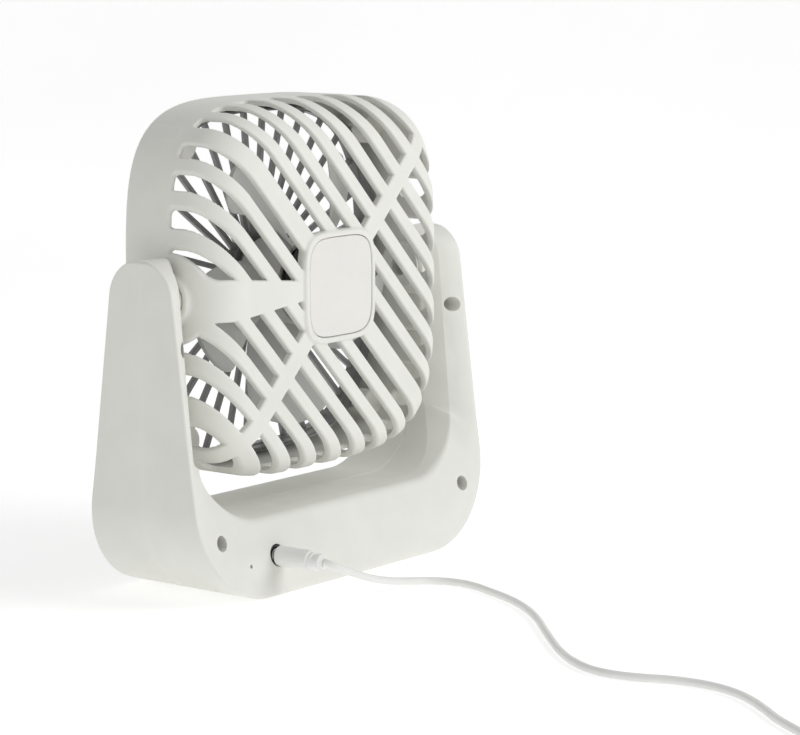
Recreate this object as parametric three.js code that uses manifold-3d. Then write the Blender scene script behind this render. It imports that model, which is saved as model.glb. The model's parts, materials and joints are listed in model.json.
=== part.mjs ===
// Desk fan: a rounded-square head that tilts between the arms of a U-shaped stand.
// Millimetres, +Z up. The front faces -Y, the slatted rear faces +Y, and the speed
// button is on the front. The origin is on the table under the middle of the stand.
import * as THREE from 'three';
import { mergeVertices } from 'three/addons/utils/BufferGeometryUtils.js';
import Module from 'manifold-3d';

const wasm = await Module();
wasm.setup();

// ---- driving dimensions -------------------------------------------------------

const GAP = 0.3; // between pieces that touch

const FOOT = { proud: 0.6, radius: 5, x: 42, y: 20, recess: 1.2 };

const STAND = {
  halfWidth: 90,
  bottom: FOOT.proud,
  top: 130.6,
  armThickness: 14.5,
  troughFloor: 30.6,
  outerCorner: 38,
  innerCorner: 26,
  halfDepth: 31.3, // at the bottom
  taper: 0.13, // half-depth lost for each millimetre of height
  topRound: 13, // arm tops, seen from the side
  wall: 2,
};
// The front and rear faces fall away from the outer rim towards the trough.
const DISH = { linear: 3.5, square: 4.5, fillet: 5 };

const PIVOT = { z: 114.5, shaft: 5.5, boss: 6.9, bore: 3.9, armHole: 5.9, housingHole: 7.2 };

const HEAD = {
  half: 73, // half the width and half the height
  z: PIVOT.z,
  exponent: 4, // of the superellipse outline
  front: -22.7,
  rear: 23,
  dome: 17, // radius between the side wall and the rear face
  wall: 2.4,
  slatDepth: 3.4,
};
const SLOT = { first: 7, pitch: 11, width: 5.7, count: 8, start: -1 };
const RIB = { diagonal: 4, innerHalf: 3.8, outerHalf: 8, innerX: 20, outerX: 62 };
const FLARE = { left: 18, right: 10 }; // solid discs round the pivots
const BADGE = { rimHalf: 21.8, insertHalf: 19.3, exponent: 4.5, rimY: 24.1, seatY: 22.4 };

const BEZEL = { half: 70.3, back: -19.5, opening: 67.8, screw: 57 };
const GRILLE = {
  fins: 36, finWidth: 2.1, finBack: -19.5, front: -22.2, back: -17.3, collar: -12.6, hub: 15,
  ring: 66.3, exponent: 3.25, flange: 69.4, flangeExponent: 2.75,
};

const MOTOR = { radius: 12.2, front: -2, back: 17.2, bracket: 19, bracketFront: 10, screw: 15.8 };
const IMPELLER = { hub: 17, hubWall: 2, front: -15, back: 6, tip: 57.2, blades: 5, firstBlade: 10.7 };
// Root and tip values: half the angle that a blade covers, and half its depth along the axis.
const BLADE = {
  middle: -1.9, halfAngle: [21.2, 19.1], halfDepth: [8.2, 5.4], sweep: 27.9, roundFrom: 0.85,
  thickness: 1.7, root: 14.5,
};
const SHAFT = 1;

const SCREW_HIGH = { x: 84.1, z: 98.1 };
const SCREW_LOW = { x: 75.9, z: 25 };
const SCREW = { hole: 3, headSeat: 6, shank: 1.2, pilot: 1.5, length: 13 };

const BUTTON = { z: 15.6, radius: 6, face: -28.9, slope: 0.267, travel: 0.8 };
const JACK = { x: 45, z: 15.6, radius: 4, face: 26.9 };
const LED = { x: 61.3, z: 14 };
const CELL = { radius: 9.2, length: 65, x: -22, y: 1.5, z: 15.8 };

const CABLE = { radius: 1.5 };
// The coil's outer shape: two layers of three turns.
const COIL = { x: 92.8, y: 315, inner: 11.8, outer: 21.2, bottom: 0.9, top: 6.2 };

// ---- materials ----------------------------------------------------------------

function plastic(color, roughness = 0.55) {
  return new THREE.MeshStandardMaterial({ color, roughness, metalness: 0 });
}

function metal(color, roughness = 0.3) {
  return new THREE.MeshStandardMaterial({ color, roughness, metalness: 1 });
}

const HOUSING = plastic(0xdfdfda);
const BADGE_PLASTIC = plastic(0xe2e0dc, 0.45);
const BLADE_PLASTIC = plastic(0xd6d6d2, 0.5);
const GRILLE_PLASTIC = plastic(0x6c6c6e, 0.5);
const BLACK_PLASTIC = plastic(0x1a1a1b, 0.45);
const CABLE_PLASTIC = plastic(0xe6e6e3, 0.5);
const RUBBER = plastic(0x8d8d8b, 0.85);
const BOARD = plastic(0x1f5a3a, 0.6);
const CELL_SLEEVE = plastic(0x3b7fb5, 0.35);
const CLEAR = plastic(0xf2f4f4, 0.15);
const WIRE = plastic(0x26262a, 0.5);
const STEEL = metal(0xb9babc);
const BRASS = metal(0xc7a252);

// ---- solids -------------------------------------------------------------------

function toSolid(geometry) {
  const bare = geometry.clone();
  bare.deleteAttribute('normal');
  bare.deleteAttribute('uv');
  const merged = mergeVertices(bare, 1e-4);
  return new wasm.Manifold(new wasm.Mesh({
    numProp: 3,
    vertProperties: new Float32Array(merged.attributes.position.array),
    triVerts: new Uint32Array(merged.index.array),
  }));
}

function toGeometry(solid) {
  const mesh = solid.getMesh();
  const geometry = new THREE.BufferGeometry();
  geometry.setAttribute('position', new THREE.BufferAttribute(mesh.vertProperties, 3));
  geometry.setIndex(new THREE.BufferAttribute(mesh.triVerts, 1));
  geometry.computeVertexNormals();
  return geometry;
}

function cut(body, ...tools) {
  return tools.reduce((left, tool) => left.subtract(tool), body);
}

function join(...parts) {
  return parts.reduce((sum, part) => sum.add(part));
}

function box([x0, y0, z0], [x1, y1, z1]) {
  const geometry = new THREE.BoxGeometry(x1 - x0, y1 - y0, z1 - z0);
  geometry.translate((x0 + x1) / 2, (y0 + y1) / 2, (z0 + z1) / 2);
  return toSolid(geometry);
}

// Turns a geometry made round Y so that its axis lies along the named axis.
function alignTo(geometry, axis) {
  if (axis === 'x') geometry.rotateZ(-Math.PI / 2);
  if (axis === 'z') geometry.rotateX(Math.PI / 2);
  return geometry;
}

function rod(axis, radius, from, to, a, b, sides = 16) {
  const geometry = alignTo(new THREE.CylinderGeometry(radius, radius, to - from, sides), axis);
  const middle = (from + to) / 2;
  if (axis === 'x') geometry.translate(middle, a, b);
  if (axis === 'y') geometry.translate(a, middle, b);
  if (axis === 'z') geometry.translate(a, b, middle);
  return toSolid(geometry);
}

// A turned piece round an axis along Y. Each profile point is [radius, y].
function turned(profile, x = 0, z = 0, sides = 16) {
  const loop = profile.map(([r, y]) => new THREE.Vector2(r, y));
  if (profile.every(([r]) => r > 0)) loop.push(loop[0].clone());
  const geometry = new THREE.LatheGeometry(loop, sides);
  geometry.translate(x, 0, z);
  return outward(geometry);
}

function signedVolume(geometry) {
  const p = geometry.attributes.position;
  const index = geometry.index;
  const [a, b, c] = [new THREE.Vector3(), new THREE.Vector3(), new THREE.Vector3()];
  let sum = 0;
  for (let i = 0; i < index.count; i += 3) {
    a.fromBufferAttribute(p, index.getX(i));
    b.fromBufferAttribute(p, index.getX(i + 1));
    c.fromBufferAttribute(p, index.getX(i + 2));
    sum += a.dot(b.cross(c));
  }
  return sum / 6;
}

function outward(geometry) {
  if (signedVolume(geometry) < 0) {
    const index = geometry.index;
    for (let i = 0; i < index.count; i += 3) {
      const first = index.getX(i);
      index.setX(i, index.getX(i + 1));
      index.setX(i + 1, first);
    }
  }
  return toSolid(geometry);
}

// A closed body through a row of rings that all have the same number of points.
function loft(rings) {
  const size = rings[0].length;
  const points = rings.flat();
  const faces = [];
  for (let r = 0; r + 1 < rings.length; r += 1) {
    for (let i = 0; i < size; i += 1) {
      const a = r * size + i;
      const b = r * size + ((i + 1) % size);
      faces.push(a, b, a + size, b, b + size, a + size);
    }
  }
  for (const [r, flip] of [[0, true], [rings.length - 1, false]]) {
    const centre = rings[r].reduce((sum, p) => sum.add(p), new THREE.Vector3()).divideScalar(size);
    points.push(centre);
    const c = points.length - 1;
    for (let i = 0; i < size; i += 1) {
      const a = r * size + i;
      const b = r * size + ((i + 1) % size);
      if (flip) faces.push(c, b, a);
      else faces.push(c, a, b);
    }
  }
  const geometry = new THREE.BufferGeometry().setFromPoints(points);
  geometry.setIndex(faces);
  return outward(geometry);
}

function extrudeY(outline, y0, y1) {
  const ring = (y) => outline.map(([x, z]) => new THREE.Vector3(x, y, z));
  return loft([ring(y0), ring(y1)]);
}

function superellipse(half, exponent, steps) {
  const outline = [];
  for (let i = 0; i < steps; i += 1) {
    const angle = (2 * Math.PI * i) / steps;
    const [c, s] = [Math.cos(angle), Math.sin(angle)];
    const norm = (Math.abs(c) ** exponent + Math.abs(s) ** exponent) ** (1 / exponent);
    outline.push([(half * c) / norm, HEAD.z + (half * s) / norm]);
  }
  return outline;
}

function tube(points, radius, sides, steps) {
  const angles = Array.from({ length: sides }, (_, i) => (2 * Math.PI * i) / sides);
  const section = new THREE.Shape(
    angles.map((a) => new THREE.Vector2(radius * Math.cos(a), radius * Math.sin(a))),
  );
  const path = new THREE.CatmullRomCurve3(points.map((p) => new THREE.Vector3(...p)));
  const settings = { steps, extrudePath: path, bevelEnabled: false };
  return new THREE.ExtrudeGeometry(section, settings);
}

// ---- scene graph --------------------------------------------------------------

const group = new THREE.Group();

function addPiece(name, shape, material) {
  const geometry = shape.isBufferGeometry ? shape : toGeometry(shape);
  const mesh = new THREE.Mesh(geometry, material);
  mesh.name = name;
  group.add(mesh);
}

// ---- stand --------------------------------------------------------------------

function standHalfDepth(z) {
  return STAND.halfDepth - STAND.taper * (z - STAND.bottom);
}

// Half-depth of the face at a fraction u of the way from the outer rim to the inner wall.
function dishedFace(u, z) {
  const lost = DISH.linear * u + DISH.square * u * u;
  return standHalfDepth(z) * (1 - lost / STAND.halfDepth);
}

// Pairs of outer and inner outline points, from one arm top down to the middle.
function standStations(inset, top) {
  const outerX = STAND.halfWidth - inset;
  const innerX = STAND.halfWidth - STAND.armThickness + inset;
  const outerCentre = [STAND.halfWidth - STAND.outerCorner, STAND.bottom + STAND.outerCorner];
  const innerCentre = [
    STAND.halfWidth - STAND.armThickness - STAND.innerCorner,
    STAND.troughFloor + STAND.innerCorner,
  ];
  const roundStart = STAND.top - STAND.topRound;
  const stations = [];
  for (const part of [1, 0.94, 0.75, 0.4, 0]) {
    const z = roundStart + part * STAND.topRound;
    if (z > top) continue;
    const squeeze = STAND.topRound * (1 - Math.sqrt(1 - part * part));
    stations.push({ outer: [outerX, z], inner: [innerX, z], squeeze });
  }
  if (stations[0].outer[1] < top) {
    stations.unshift({ outer: [outerX, top], inner: [innerX, top], squeeze: 2 });
  }
  stations.push({ outer: [outerX, innerCentre[1]], inner: [innerX, innerCentre[1]], squeeze: 0 });
  const outerR = STAND.outerCorner - inset;
  const innerR = STAND.innerCorner + inset;
  const cornerSteps = 5;
  for (let i = 0; i <= cornerSteps; i += 1) {
    const angle = (Math.PI / 2) * (i / cornerSteps);
    const [c, s] = [Math.cos(angle), Math.sin(angle)];
    stations.push({
      outer: [outerCentre[0] + outerR * c, outerCentre[1] - outerR * s],
      inner: [innerCentre[0] + innerR * c, innerCentre[1] - innerR * s],
      squeeze: 0,
    });
  }
  return stations;
}

function standLoft(inset, top, faceInset) {
  const half = standStations(inset, top);
  const mirrored = half.map((s) => ({
    ...s, outer: [-s.outer[0], s.outer[1]], inner: [-s.inner[0], s.inner[1]],
  }));
  const across = [[0, 1.2], [0.08, 0], [0.5, 0], [0.8, 0.5], [1, DISH.fillet]];
  const rings = [...half, ...mirrored.reverse()].map(({ outer, inner, squeeze }) => {
    const scale = standHalfDepth(outer[1]) / STAND.halfDepth;
    const rear = across.map(([u, edge]) => {
      const depth = dishedFace(u, outer[1]) - edge * scale - squeeze - faceInset;
      const x = outer[0] + u * (inner[0] - outer[0]);
      const z = outer[1] + u * (inner[1] - outer[1]);
      return new THREE.Vector3(x, Math.max(depth, 0.8), z);
    });
    const front = rear.map((p) => new THREE.Vector3(p.x, -p.y, p.z)).reverse();
    return [...rear, ...front];
  });
  return loft(rings);
}

const standBody = standLoft(0, STAND.top, 0);
const standShell = cut(standBody, standLoft(STAND.wall, 124, 2.2));
const FAR = 200;
const rearHalf = box([-FAR, GAP / 2, -FAR], [FAR, FAR, FAR]);
const frontHalf = box([-FAR, -FAR, -FAR], [FAR, -GAP / 2, FAR]);
const screwPlaces = {
  left_high: [SCREW_HIGH.x, SCREW_HIGH.z],
  left_low: [SCREW_LOW.x, SCREW_LOW.z],
  right_high: [-SCREW_HIGH.x, SCREW_HIGH.z],
  right_low: [-SCREW_LOW.x, SCREW_LOW.z],
};
const armHoles = join(
  rod('x', PIVOT.armHole, 74, 79, 0, PIVOT.z),
  rod('x', PIVOT.armHole, -79, -74, 0, PIVOT.z),
);

function footRecess(sideX, sideY) {
  const radius = FOOT.radius + GAP;
  return rod('z', radius, -1, STAND.bottom + FOOT.recess, sideX * FOOT.x, sideY * FOOT.y);
}

function addStandShells() {
  let rear = standShell.intersect(rearHalf);
  let front = standShell.intersect(frontHalf);
  const rearRoom = standBody.intersect(box([-FAR, 0.6, -FAR], [FAR, FAR, FAR]));
  const frontRoom = standBody.intersect(frontHalf);
  for (const [x, z] of Object.values(screwPlaces)) {
    rear = join(rear, rod('y', 4.3, 0, 40, x, z, 12).intersect(rearRoom));
    front = join(front, rod('y', 3.4, -40, 0, x, z, 12).intersect(frontRoom));
    rear = cut(rear, rod('y', SCREW.hole, SCREW.headSeat, 40, x, z), rod('y', SCREW.pilot, -1, 8, x, z, 8));
    front = cut(front, rod('y', SCREW.pilot, -9, 1, x, z, 8));
  }
  rear = cut(
    rear,
    armHoles,
    rod('y', JACK.radius + 0.25, 20, 40, JACK.x, JACK.z),
    rod('y', 0.8, 20, 40, LED.x, LED.z, 12),
    footRecess(1, 1),
    footRecess(-1, 1),
  );
  front = cut(
    front,
    armHoles,
    rod('y', BUTTON.radius + GAP, -40, -20, 0, BUTTON.z, 20),
    footRecess(1, -1),
    footRecess(-1, -1),
  );
  addPiece('stand_rear_shell', rear, HOUSING);
  addPiece('stand_front_shell', front, HOUSING);
}

function addFeet() {
  const sides = { left: 1, right: -1 };
  const ends = { rear: 1, front: -1 };
  for (const [side, sx] of Object.entries(sides)) {
    for (const [end, sy] of Object.entries(ends)) {
      const top = STAND.bottom + FOOT.recess - GAP;
      const foot = rod('z', FOOT.radius, 0, top, sx * FOOT.x, sy * FOOT.y);
      addPiece(`foot_${side}_${end}`, foot, RUBBER);
    }
  }
}

function addStandScrews() {
  for (const [place, [x, z]] of Object.entries(screwPlaces)) {
    const seat = SCREW.headSeat + GAP;
    const tip = seat - SCREW.length;
    const profile = [
      [0, tip], [SCREW.shank, tip + 1.5], [SCREW.shank, seat], [2.6, seat], [2.2, seat + 2],
      [0, seat + 2],
    ];
    addPiece(`stand_screw_${place}`, turned(profile, x, z, 10), STEEL);
  }
}

function addSpeedButton() {
  const geometry = new THREE.LatheGeometry(
    [
      [0, -21.8], [7.2, -21.8], [7.2, -23], [BUTTON.radius, -23], [BUTTON.radius, BUTTON.face + 0.6],
      [BUTTON.radius - 0.6, BUTTON.face], [3, BUTTON.face + 0.3], [0, BUTTON.face + 0.4],
    ].map(([r, y]) => new THREE.Vector2(r, y)),
    20,
  );
  geometry.translate(0, 0, BUTTON.z);
  const position = geometry.attributes.position;
  for (let i = 0; i < position.count; i += 1) {
    if (position.getY(i) < -25) {
      const lean = BUTTON.slope * (position.getZ(i) - BUTTON.z);
      position.setY(i, position.getY(i) + lean);
    }
  }
  addPiece('speed_button', outward(geometry), HOUSING);
}

function addElectronics() {
  const switchBody = box([-3, -19.9, BUTTON.z - 3], [3, -16.9, BUTTON.z + 3]);
  addPiece('tact_switch', join(switchBody, rod('y', 1.7, -20.7, -18, 0, BUTTON.z)), BLACK_PLASTIC);
  addPiece('control_board', box([-24, -16.6, 5], [34, -15, 27]), BOARD);
  addPiece('charge_board', box([36, 12, 8], [67, 13.6, 24]), BOARD);
  const jack = cut(
    rod('y', JACK.radius, 13.9, JACK.face, JACK.x, JACK.z),
    cut(rod('y', 2.9, 16, 40, JACK.x, JACK.z), rod('y', 0.7, 15, 25, JACK.x, JACK.z, 12)),
  );
  addPiece('dc_jack', jack, BLACK_PLASTIC);
  const guide = [[0, 13.9], [1.5, 13.9], [1.5, 16], [0.5, 16], [0.5, 28.2], [0, 28.2]];
  addPiece('led_light_guide', turned(guide, LED.x, LED.z, 12), CLEAR);
}

function addBattery() {
  const [x0, x1] = [CELL.x - CELL.length / 2, CELL.x + CELL.length / 2];
  const cell = join(
    rod('x', CELL.radius, x0, x1, CELL.y, CELL.z),
    rod('x', 3, x1 - 1, x1 + 1, CELL.y, CELL.z),
  );
  addPiece('battery_cell', cell, CELL_SLEEVE);
  const reach = CELL.radius + GAP;
  const cradle = cut(
    box([x0 - 2, CELL.y - 11, 4], [x1 + 3, CELL.y + 11, 14]),
    rod('x', reach, x0 - GAP, x1 + 1.5, CELL.y, CELL.z),
    box([x0 - GAP, CELL.y - 9.3, 15], [x1 + 1.5, CELL.y + 9.3, 20]),
  );
  addPiece('battery_cradle', cradle, BLACK_PLASTIC);
}

function addStandWires() {
  const battery = [[12.8, 1.5, 16], [18, 3, 19], [24, 6, 20.5], [30, 10, 19.5], [35.4, 12.8, 18]];
  addPiece('battery_lead', tube(battery, 0.8, 6, 10), WIRE);
  const supply = [[20, -14.5, 22], [24, -6, 24.5], [34, 3, 23], [40, 8, 20.5], [42, 11.5, 19]];
  addPiece('control_lead', tube(supply, 0.8, 6, 10), WIRE);
  const motor = [
    [34.6, -15.8, 16], [44, -12, 12], [58, -6, 14], [66, -3, 24], [70.8, -1, 32], [76.5, 0, 46],
    [79.2, 0, 60], [78.75, 0, 80], [78.75, 0, 92], [78.75, 0, 99], [80.6, 0, 103.4], [84, 0, 107],
    [85.6, 0, 111], [84.8, 0, 114], [82.4, 0, PIVOT.z], [79, 0, PIVOT.z], [76.8, 0, PIVOT.z],
  ];
  addPiece('stand_motor_lead', tube(motor, 0.8, 6, 44), WIRE);
}

// ---- pivots -------------------------------------------------------------------

// A turned piece round the tilt axis. Each profile point is [radius, distance from the middle].
function turnedOnPivot(side, profile, sides = 16) {
  const loop = profile.map(([r, x]) => new THREE.Vector2(r, x));
  loop.push(loop[0].clone());
  const geometry = alignTo(new THREE.LatheGeometry(loop, sides), 'x');
  if (side === 'right') geometry.rotateZ(Math.PI);
  geometry.translate(0, 0, PIVOT.z);
  return outward(geometry);
}

function addPivots() {
  for (const side of ['left', 'right']) {
    const { bore, boss, shaft } = PIVOT;
    const pivot = [
      [bore, 68], [9.4, 68], [9.4, 69.9], [boss, 69.9], [boss, 74.4], [boss - 0.6, 75],
      [shaft, 75], [shaft, 82], [bore, 82],
    ];
    addPiece(`${side}_pivot`, turnedOnPivot(side, pivot), HOUSING);
    const washer = [[shaft + GAP, 77.8], [7.8, 77.8], [7.8, 78.6], [shaft + GAP, 78.6]];
    addPiece(`${side}_friction_washer`, turnedOnPivot(side, washer), BLACK_PLASTIC);
    const retainer = [[shaft + GAP, 78.9], [8.2, 78.9], [8.2, 80.9], [shaft + GAP, 80.9]];
    addPiece(`${side}_pivot_retainer`, turnedOnPivot(side, retainer), STEEL);
  }
}

// ---- head ---------------------------------------------------------------------

const OUTLINE_STEPS = 32;

function headLoft(shrink, domeDepth, frontY) {
  const ring = (half, y) => superellipse(half, HEAD.exponent, OUTLINE_STEPS)
    .map(([x, z]) => new THREE.Vector3(x, y, z));
  const domeStart = HEAD.rear - HEAD.dome;
  const flat = HEAD.half - HEAD.dome;
  const rings = [ring(HEAD.half - shrink, frontY)];
  const arcSteps = 4;
  for (let i = 0; i <= arcSteps; i += 1) {
    const angle = (Math.PI / 2) * (i / arcSteps);
    rings.push(ring(
      flat + (HEAD.dome - shrink) * Math.cos(angle),
      domeStart + (HEAD.dome - domeDepth) * Math.sin(angle),
    ));
  }
  return loft(rings);
}

// A long slab along the slat direction, at a given distance from the middle.
function slatSlab(offset, width) {
  const geometry = new THREE.BoxGeometry(300, 60, width);
  geometry.translate(0, 30 + SLOT.start, -offset);
  geometry.rotateY(-Math.PI / 4);
  geometry.translate(0, 0, HEAD.z);
  return toSolid(geometry);
}

function solidAreas() {
  const badge = extrudeY(superellipse(BADGE.rimHalf, BADGE.exponent, 24), -10, 60);
  const diagonal = new THREE.BoxGeometry(2 * RIB.diagonal, 100, 300);
  diagonal.rotateY(-Math.PI / 4);
  diagonal.translate(0, 0, HEAD.z);
  const rib = extrudeY(
    [
      [0, HEAD.z - RIB.innerHalf], [RIB.innerX, HEAD.z - RIB.innerHalf],
      [RIB.outerX, HEAD.z - RIB.outerHalf], [80, HEAD.z - RIB.outerHalf],
      [80, HEAD.z + RIB.outerHalf], [RIB.outerX, HEAD.z + RIB.outerHalf],
      [RIB.innerX, HEAD.z + RIB.innerHalf], [0, HEAD.z + RIB.innerHalf],
    ],
    -10,
    60,
  );
  const flares = join(
    rod('x', FLARE.left, 55, 80, 0, HEAD.z, 20),
    rod('x', FLARE.right, -80, -55, 0, HEAD.z, 16),
  );
  return join(badge, toSolid(diagonal), rib, flares);
}

function ventSlots() {
  const slabs = [];
  for (let i = 0; i < SLOT.count; i += 1) {
    const offset = SLOT.first + SLOT.pitch * i;
    slabs.push(slatSlab(offset, SLOT.width));
    if (i + 1 < SLOT.count) slabs.push(slatSlab(-offset, SLOT.width));
  }
  return cut(join(...slabs), solidAreas());
}

function grilleOutline(half) {
  return superellipse(half, GRILLE.exponent, OUTLINE_STEPS);
}

const cornerPlaces = [[1, 1], [1, -1], [-1, 1], [-1, -1]]
  .map(([sx, sz]) => [sx * BEZEL.screw, HEAD.z + sz * BEZEL.screw]);

function addRearHousing() {
  const outer = headLoft(0, 0, HEAD.front);
  const badgeRim = superellipse(BADGE.rimHalf, BADGE.exponent, 24);
  const badgeSeat = superellipse(BADGE.insertHalf + GAP, BADGE.exponent, 24);
  let housing = cut(outer, headLoft(HEAD.wall, HEAD.slatDepth, HEAD.front - 1), ventSlots());
  housing = join(housing, extrudeY(badgeRim, HEAD.rear - HEAD.slatDepth, BADGE.rimY));
  housing = cut(housing, extrudeY(badgeSeat, BADGE.seatY, FAR));
  const room = cut(
    outer.intersect(box([-FAR, BEZEL.back + GAP, -FAR], [FAR, -5, FAR])),
    extrudeY(grilleOutline(BEZEL.opening), -30, GRILLE.collar + 1),
  );
  for (const [x, z] of cornerPlaces) {
    housing = join(housing, rod('y', 6, -30, -5, x, z, 12).intersect(room));
    housing = cut(housing, rod('y', 1.2, -30, -8, x, z, 8));
  }
  for (const x of [-MOTOR.screw, MOTOR.screw]) {
    housing = cut(housing, rod('y', 1.1, 15, BADGE.seatY - 0.4, x, HEAD.z, 8));
  }
  housing = cut(
    housing,
    rod('x', PIVOT.housingHole, 66, 80, 0, PIVOT.z),
    rod('x', PIVOT.housingHole, -80, -66, 0, PIVOT.z),
  );
  addPiece('rear_housing', housing, HOUSING);
}

function addBadge() {
  const outline = superellipse(BADGE.insertHalf, BADGE.exponent, 24);
  addPiece('rear_badge', extrudeY(outline, BADGE.seatY + GAP, BADGE.rimY - 0.2), BADGE_PLASTIC);
}

function addFrontBezel() {
  let bezel = cut(
    extrudeY(superellipse(BEZEL.half, HEAD.exponent, OUTLINE_STEPS), HEAD.front, BEZEL.back),
    extrudeY(grilleOutline(BEZEL.opening), -40, 0),
  );
  for (const [x, z] of cornerPlaces) {
    bezel = cut(bezel, rod('y', 1.3, -30, -10, x, z, 8), rod('y', 2.2, -30, -21.1, x, z, 12));
  }
  addPiece('front_bezel', bezel, HOUSING);
  const names = ['left_top', 'left_bottom', 'right_top', 'right_bottom'];
  cornerPlaces.forEach(([x, z], i) => {
    const profile = [[0, -22.6], [1.9, -22.6], [1.9, -21.4], [0.9, -21.4], [0.9, -11], [0, -10]];
    addPiece(`bezel_screw_${names[i]}`, turned(profile, x, z, 10), STEEL);
  });
}

function addFrontGrille() {
  const { front, back, collar, hub, ring, fins, finWidth, finBack } = GRILLE;
  const opening = extrudeY(grilleOutline(ring), -40, 0);
  const flangeOutline = superellipse(GRILLE.flange, GRILLE.flangeExponent, OUTLINE_STEPS);
  const rim = cut(
    join(
      extrudeY(grilleOutline(BEZEL.opening - GAP), front, collar),
      extrudeY(flangeOutline, BEZEL.back + GAP, back),
    ),
    opening,
  );
  const boss = turned([[hub, front], [hub + 3.5, front], [hub + 3.5, back], [hub, back]], 0, HEAD.z, 24);
  const parts = [boss];
  const reach = 80; // past the corners of the opening
  for (let i = 0; i < fins; i += 1) {
    const fin = new THREE.BoxGeometry(finWidth, finBack - front - 0.2, reach - hub - 1.5);
    fin.translate(0, (front + 0.2 + finBack) / 2, (reach + hub + 1.5) / 2);
    fin.rotateY((2 * Math.PI * (i + 0.5)) / fins);
    fin.translate(0, 0, HEAD.z);
    parts.push(toSolid(fin));
  }
  const withinRim = extrudeY(grilleOutline(ring + 0.5), -40, 0);
  addPiece('front_grille', join(rim, join(...parts).intersect(withinRim)), GRILLE_PLASTIC);
  const cap = [[0, -23.6], [8, -23.4], [13.4, -22.8], [hub - GAP, -22], [hub - GAP, -19], [0, -19]];
  addPiece('front_cap', turned(cap, 0, HEAD.z, 24), HOUSING);
}

function addMotor() {
  const { radius, front, back, bracket, bracketFront } = MOTOR;
  const cupBack = HEAD.rear - HEAD.slatDepth - GAP;
  let cup = turned([
    [0, back + GAP], [radius + GAP, back + GAP], [radius + GAP, bracketFront],
    [bracket - 1, bracketFront], [bracket, bracketFront + 1], [bracket, cupBack], [0, cupBack],
  ], 0, HEAD.z, 24);
  [MOTOR.screw, -MOTOR.screw].forEach((x, i) => {
    cup = cut(cup, rod('y', 1.1, 0, 30, x, HEAD.z, 8));
    const headBack = bracketFront - GAP;
    const headFront = headBack - 1.8;
    const profile = [
      [0, headFront], [1.9, headFront], [1.9, headBack], [0.8, headBack], [0.8, 21], [0, 21.4],
    ];
    addPiece(`motor_screw_${['left', 'right'][i]}`, turned(profile, x, HEAD.z, 10), STEEL);
  });
  addPiece('motor_bracket', cup, BLACK_PLASTIC);
  const clearance = SHAFT + GAP;
  const can = [
    [0, 13], [clearance, 13], [clearance, front - 1.5], [3, front - 1.5], [3, front],
    [radius - 1, front], [radius, front + 1], [radius, back], [0, back],
  ];
  addPiece('motor_can', turned(can, 0, HEAD.z, 24), STEEL);
}

function addHeadWire() {
  const points = [
    [76.3, 0, PIVOT.z], [70, 0, PIVOT.z], [66, 1, PIVOT.z], [63, 5, PIVOT.z], [59, 11, PIVOT.z],
    [53, 15.6, PIVOT.z], [44, 17.8, PIVOT.z], [32, 17.8, PIVOT.z], [24, 16.5, PIVOT.z],
    [19.4, 14, PIVOT.z],
  ];
  addPiece('head_motor_lead', tube(points, 0.8, 6, 22), WIRE);
}

// ---- impeller -----------------------------------------------------------------

function impellerBlade(angle) {
  const { degToRad, lerp } = THREE.MathUtils;
  const length = IMPELLER.tip - IMPELLER.hub;
  const start = (BLADE.root - IMPELLER.hub) / length;
  const across = [-1, -1 / 3, 1 / 3, 1];
  const rings = [start, 0.2, 0.4, 0.6, BLADE.roundFrom, 0.93, 0.98, 1].map((s) => {
    const radius = IMPELLER.hub + length * s;
    const past = Math.max(0, (s - BLADE.roundFrom) / (1 - BLADE.roundFrom));
    const round = Math.sqrt(1 - 0.93 * past ** 2);
    const halfAngle = degToRad(lerp(...BLADE.halfAngle, s)) * round;
    const halfDepth = lerp(...BLADE.halfDepth, s) * round;
    const point = (t, lift) => {
      const phi = angle + degToRad(BLADE.sweep) * s + halfAngle * t;
      const y = BLADE.middle + halfDepth * t + lift;
      return new THREE.Vector3(radius * Math.sin(phi), y, HEAD.z + radius * Math.cos(phi));
    };
    const upper = across.map((t) => point(t, BLADE.thickness / 2));
    const lower = across.map((t) => point(t, -BLADE.thickness / 2)).reverse();
    return [...upper, ...lower];
  });
  return loft(rings);
}

function addImpeller() {
  const { hub, hubWall, front, back, blades, firstBlade } = IMPELLER;
  const inside = hub - hubWall;
  const cup = turned([
    [3.3, front + 1.8], [3.3, front + 10], [5, front + 10], [5, front + 2.4], [inside, front + 3],
    [inside, back], [hub, back], [hub, front + 2.5], [hub - 2.5, front], [3.3, front],
  ], 0, HEAD.z, 20);
  const inner = rod('y', inside, front + hubWall, 20, 0, HEAD.z, 20);
  const parts = [];
  for (let i = 0; i < blades; i += 1) {
    const angle = THREE.MathUtils.degToRad(firstBlade + (360 / blades) * i);
    parts.push(cut(impellerBlade(angle), inner));
  }
  addPiece('impeller', join(cup, ...parts), BLADE_PLASTIC);
  const bush = [[SHAFT + GAP, front + 0.5], [3, front + 0.5], [3, front + 9.5], [SHAFT + GAP, front + 9.5]];
  addPiece('impeller_bush', turned(bush, 0, HEAD.z, 12), BRASS);
  addPiece('motor_shaft', rod('y', SHAFT, front + 1, 12, 0, HEAD.z, 12), STEEL);
}

// ---- cable --------------------------------------------------------------------

function addPlug() {
  const pin = [[1.05, 18], [2.6, 18], [2.6, 29], [1.05, 29]];
  addPiece('dc_plug_pin', turned(pin, JACK.x, JACK.z, 20), STEEL);
  const body = [
    [0, 29.3], [3.6, 29.3], [4, 29.8], [4, 44.4], [3.6, 45], [2.7, 45.2], [2.7, 48], [3.1, 48.4],
    [3.1, 50], [2.4, 51.1], [0, 51.1],
  ];
  addPiece('dc_plug_body', turned(body, JACK.x, JACK.z, 16), CABLE_PLASTIC);
}

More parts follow.
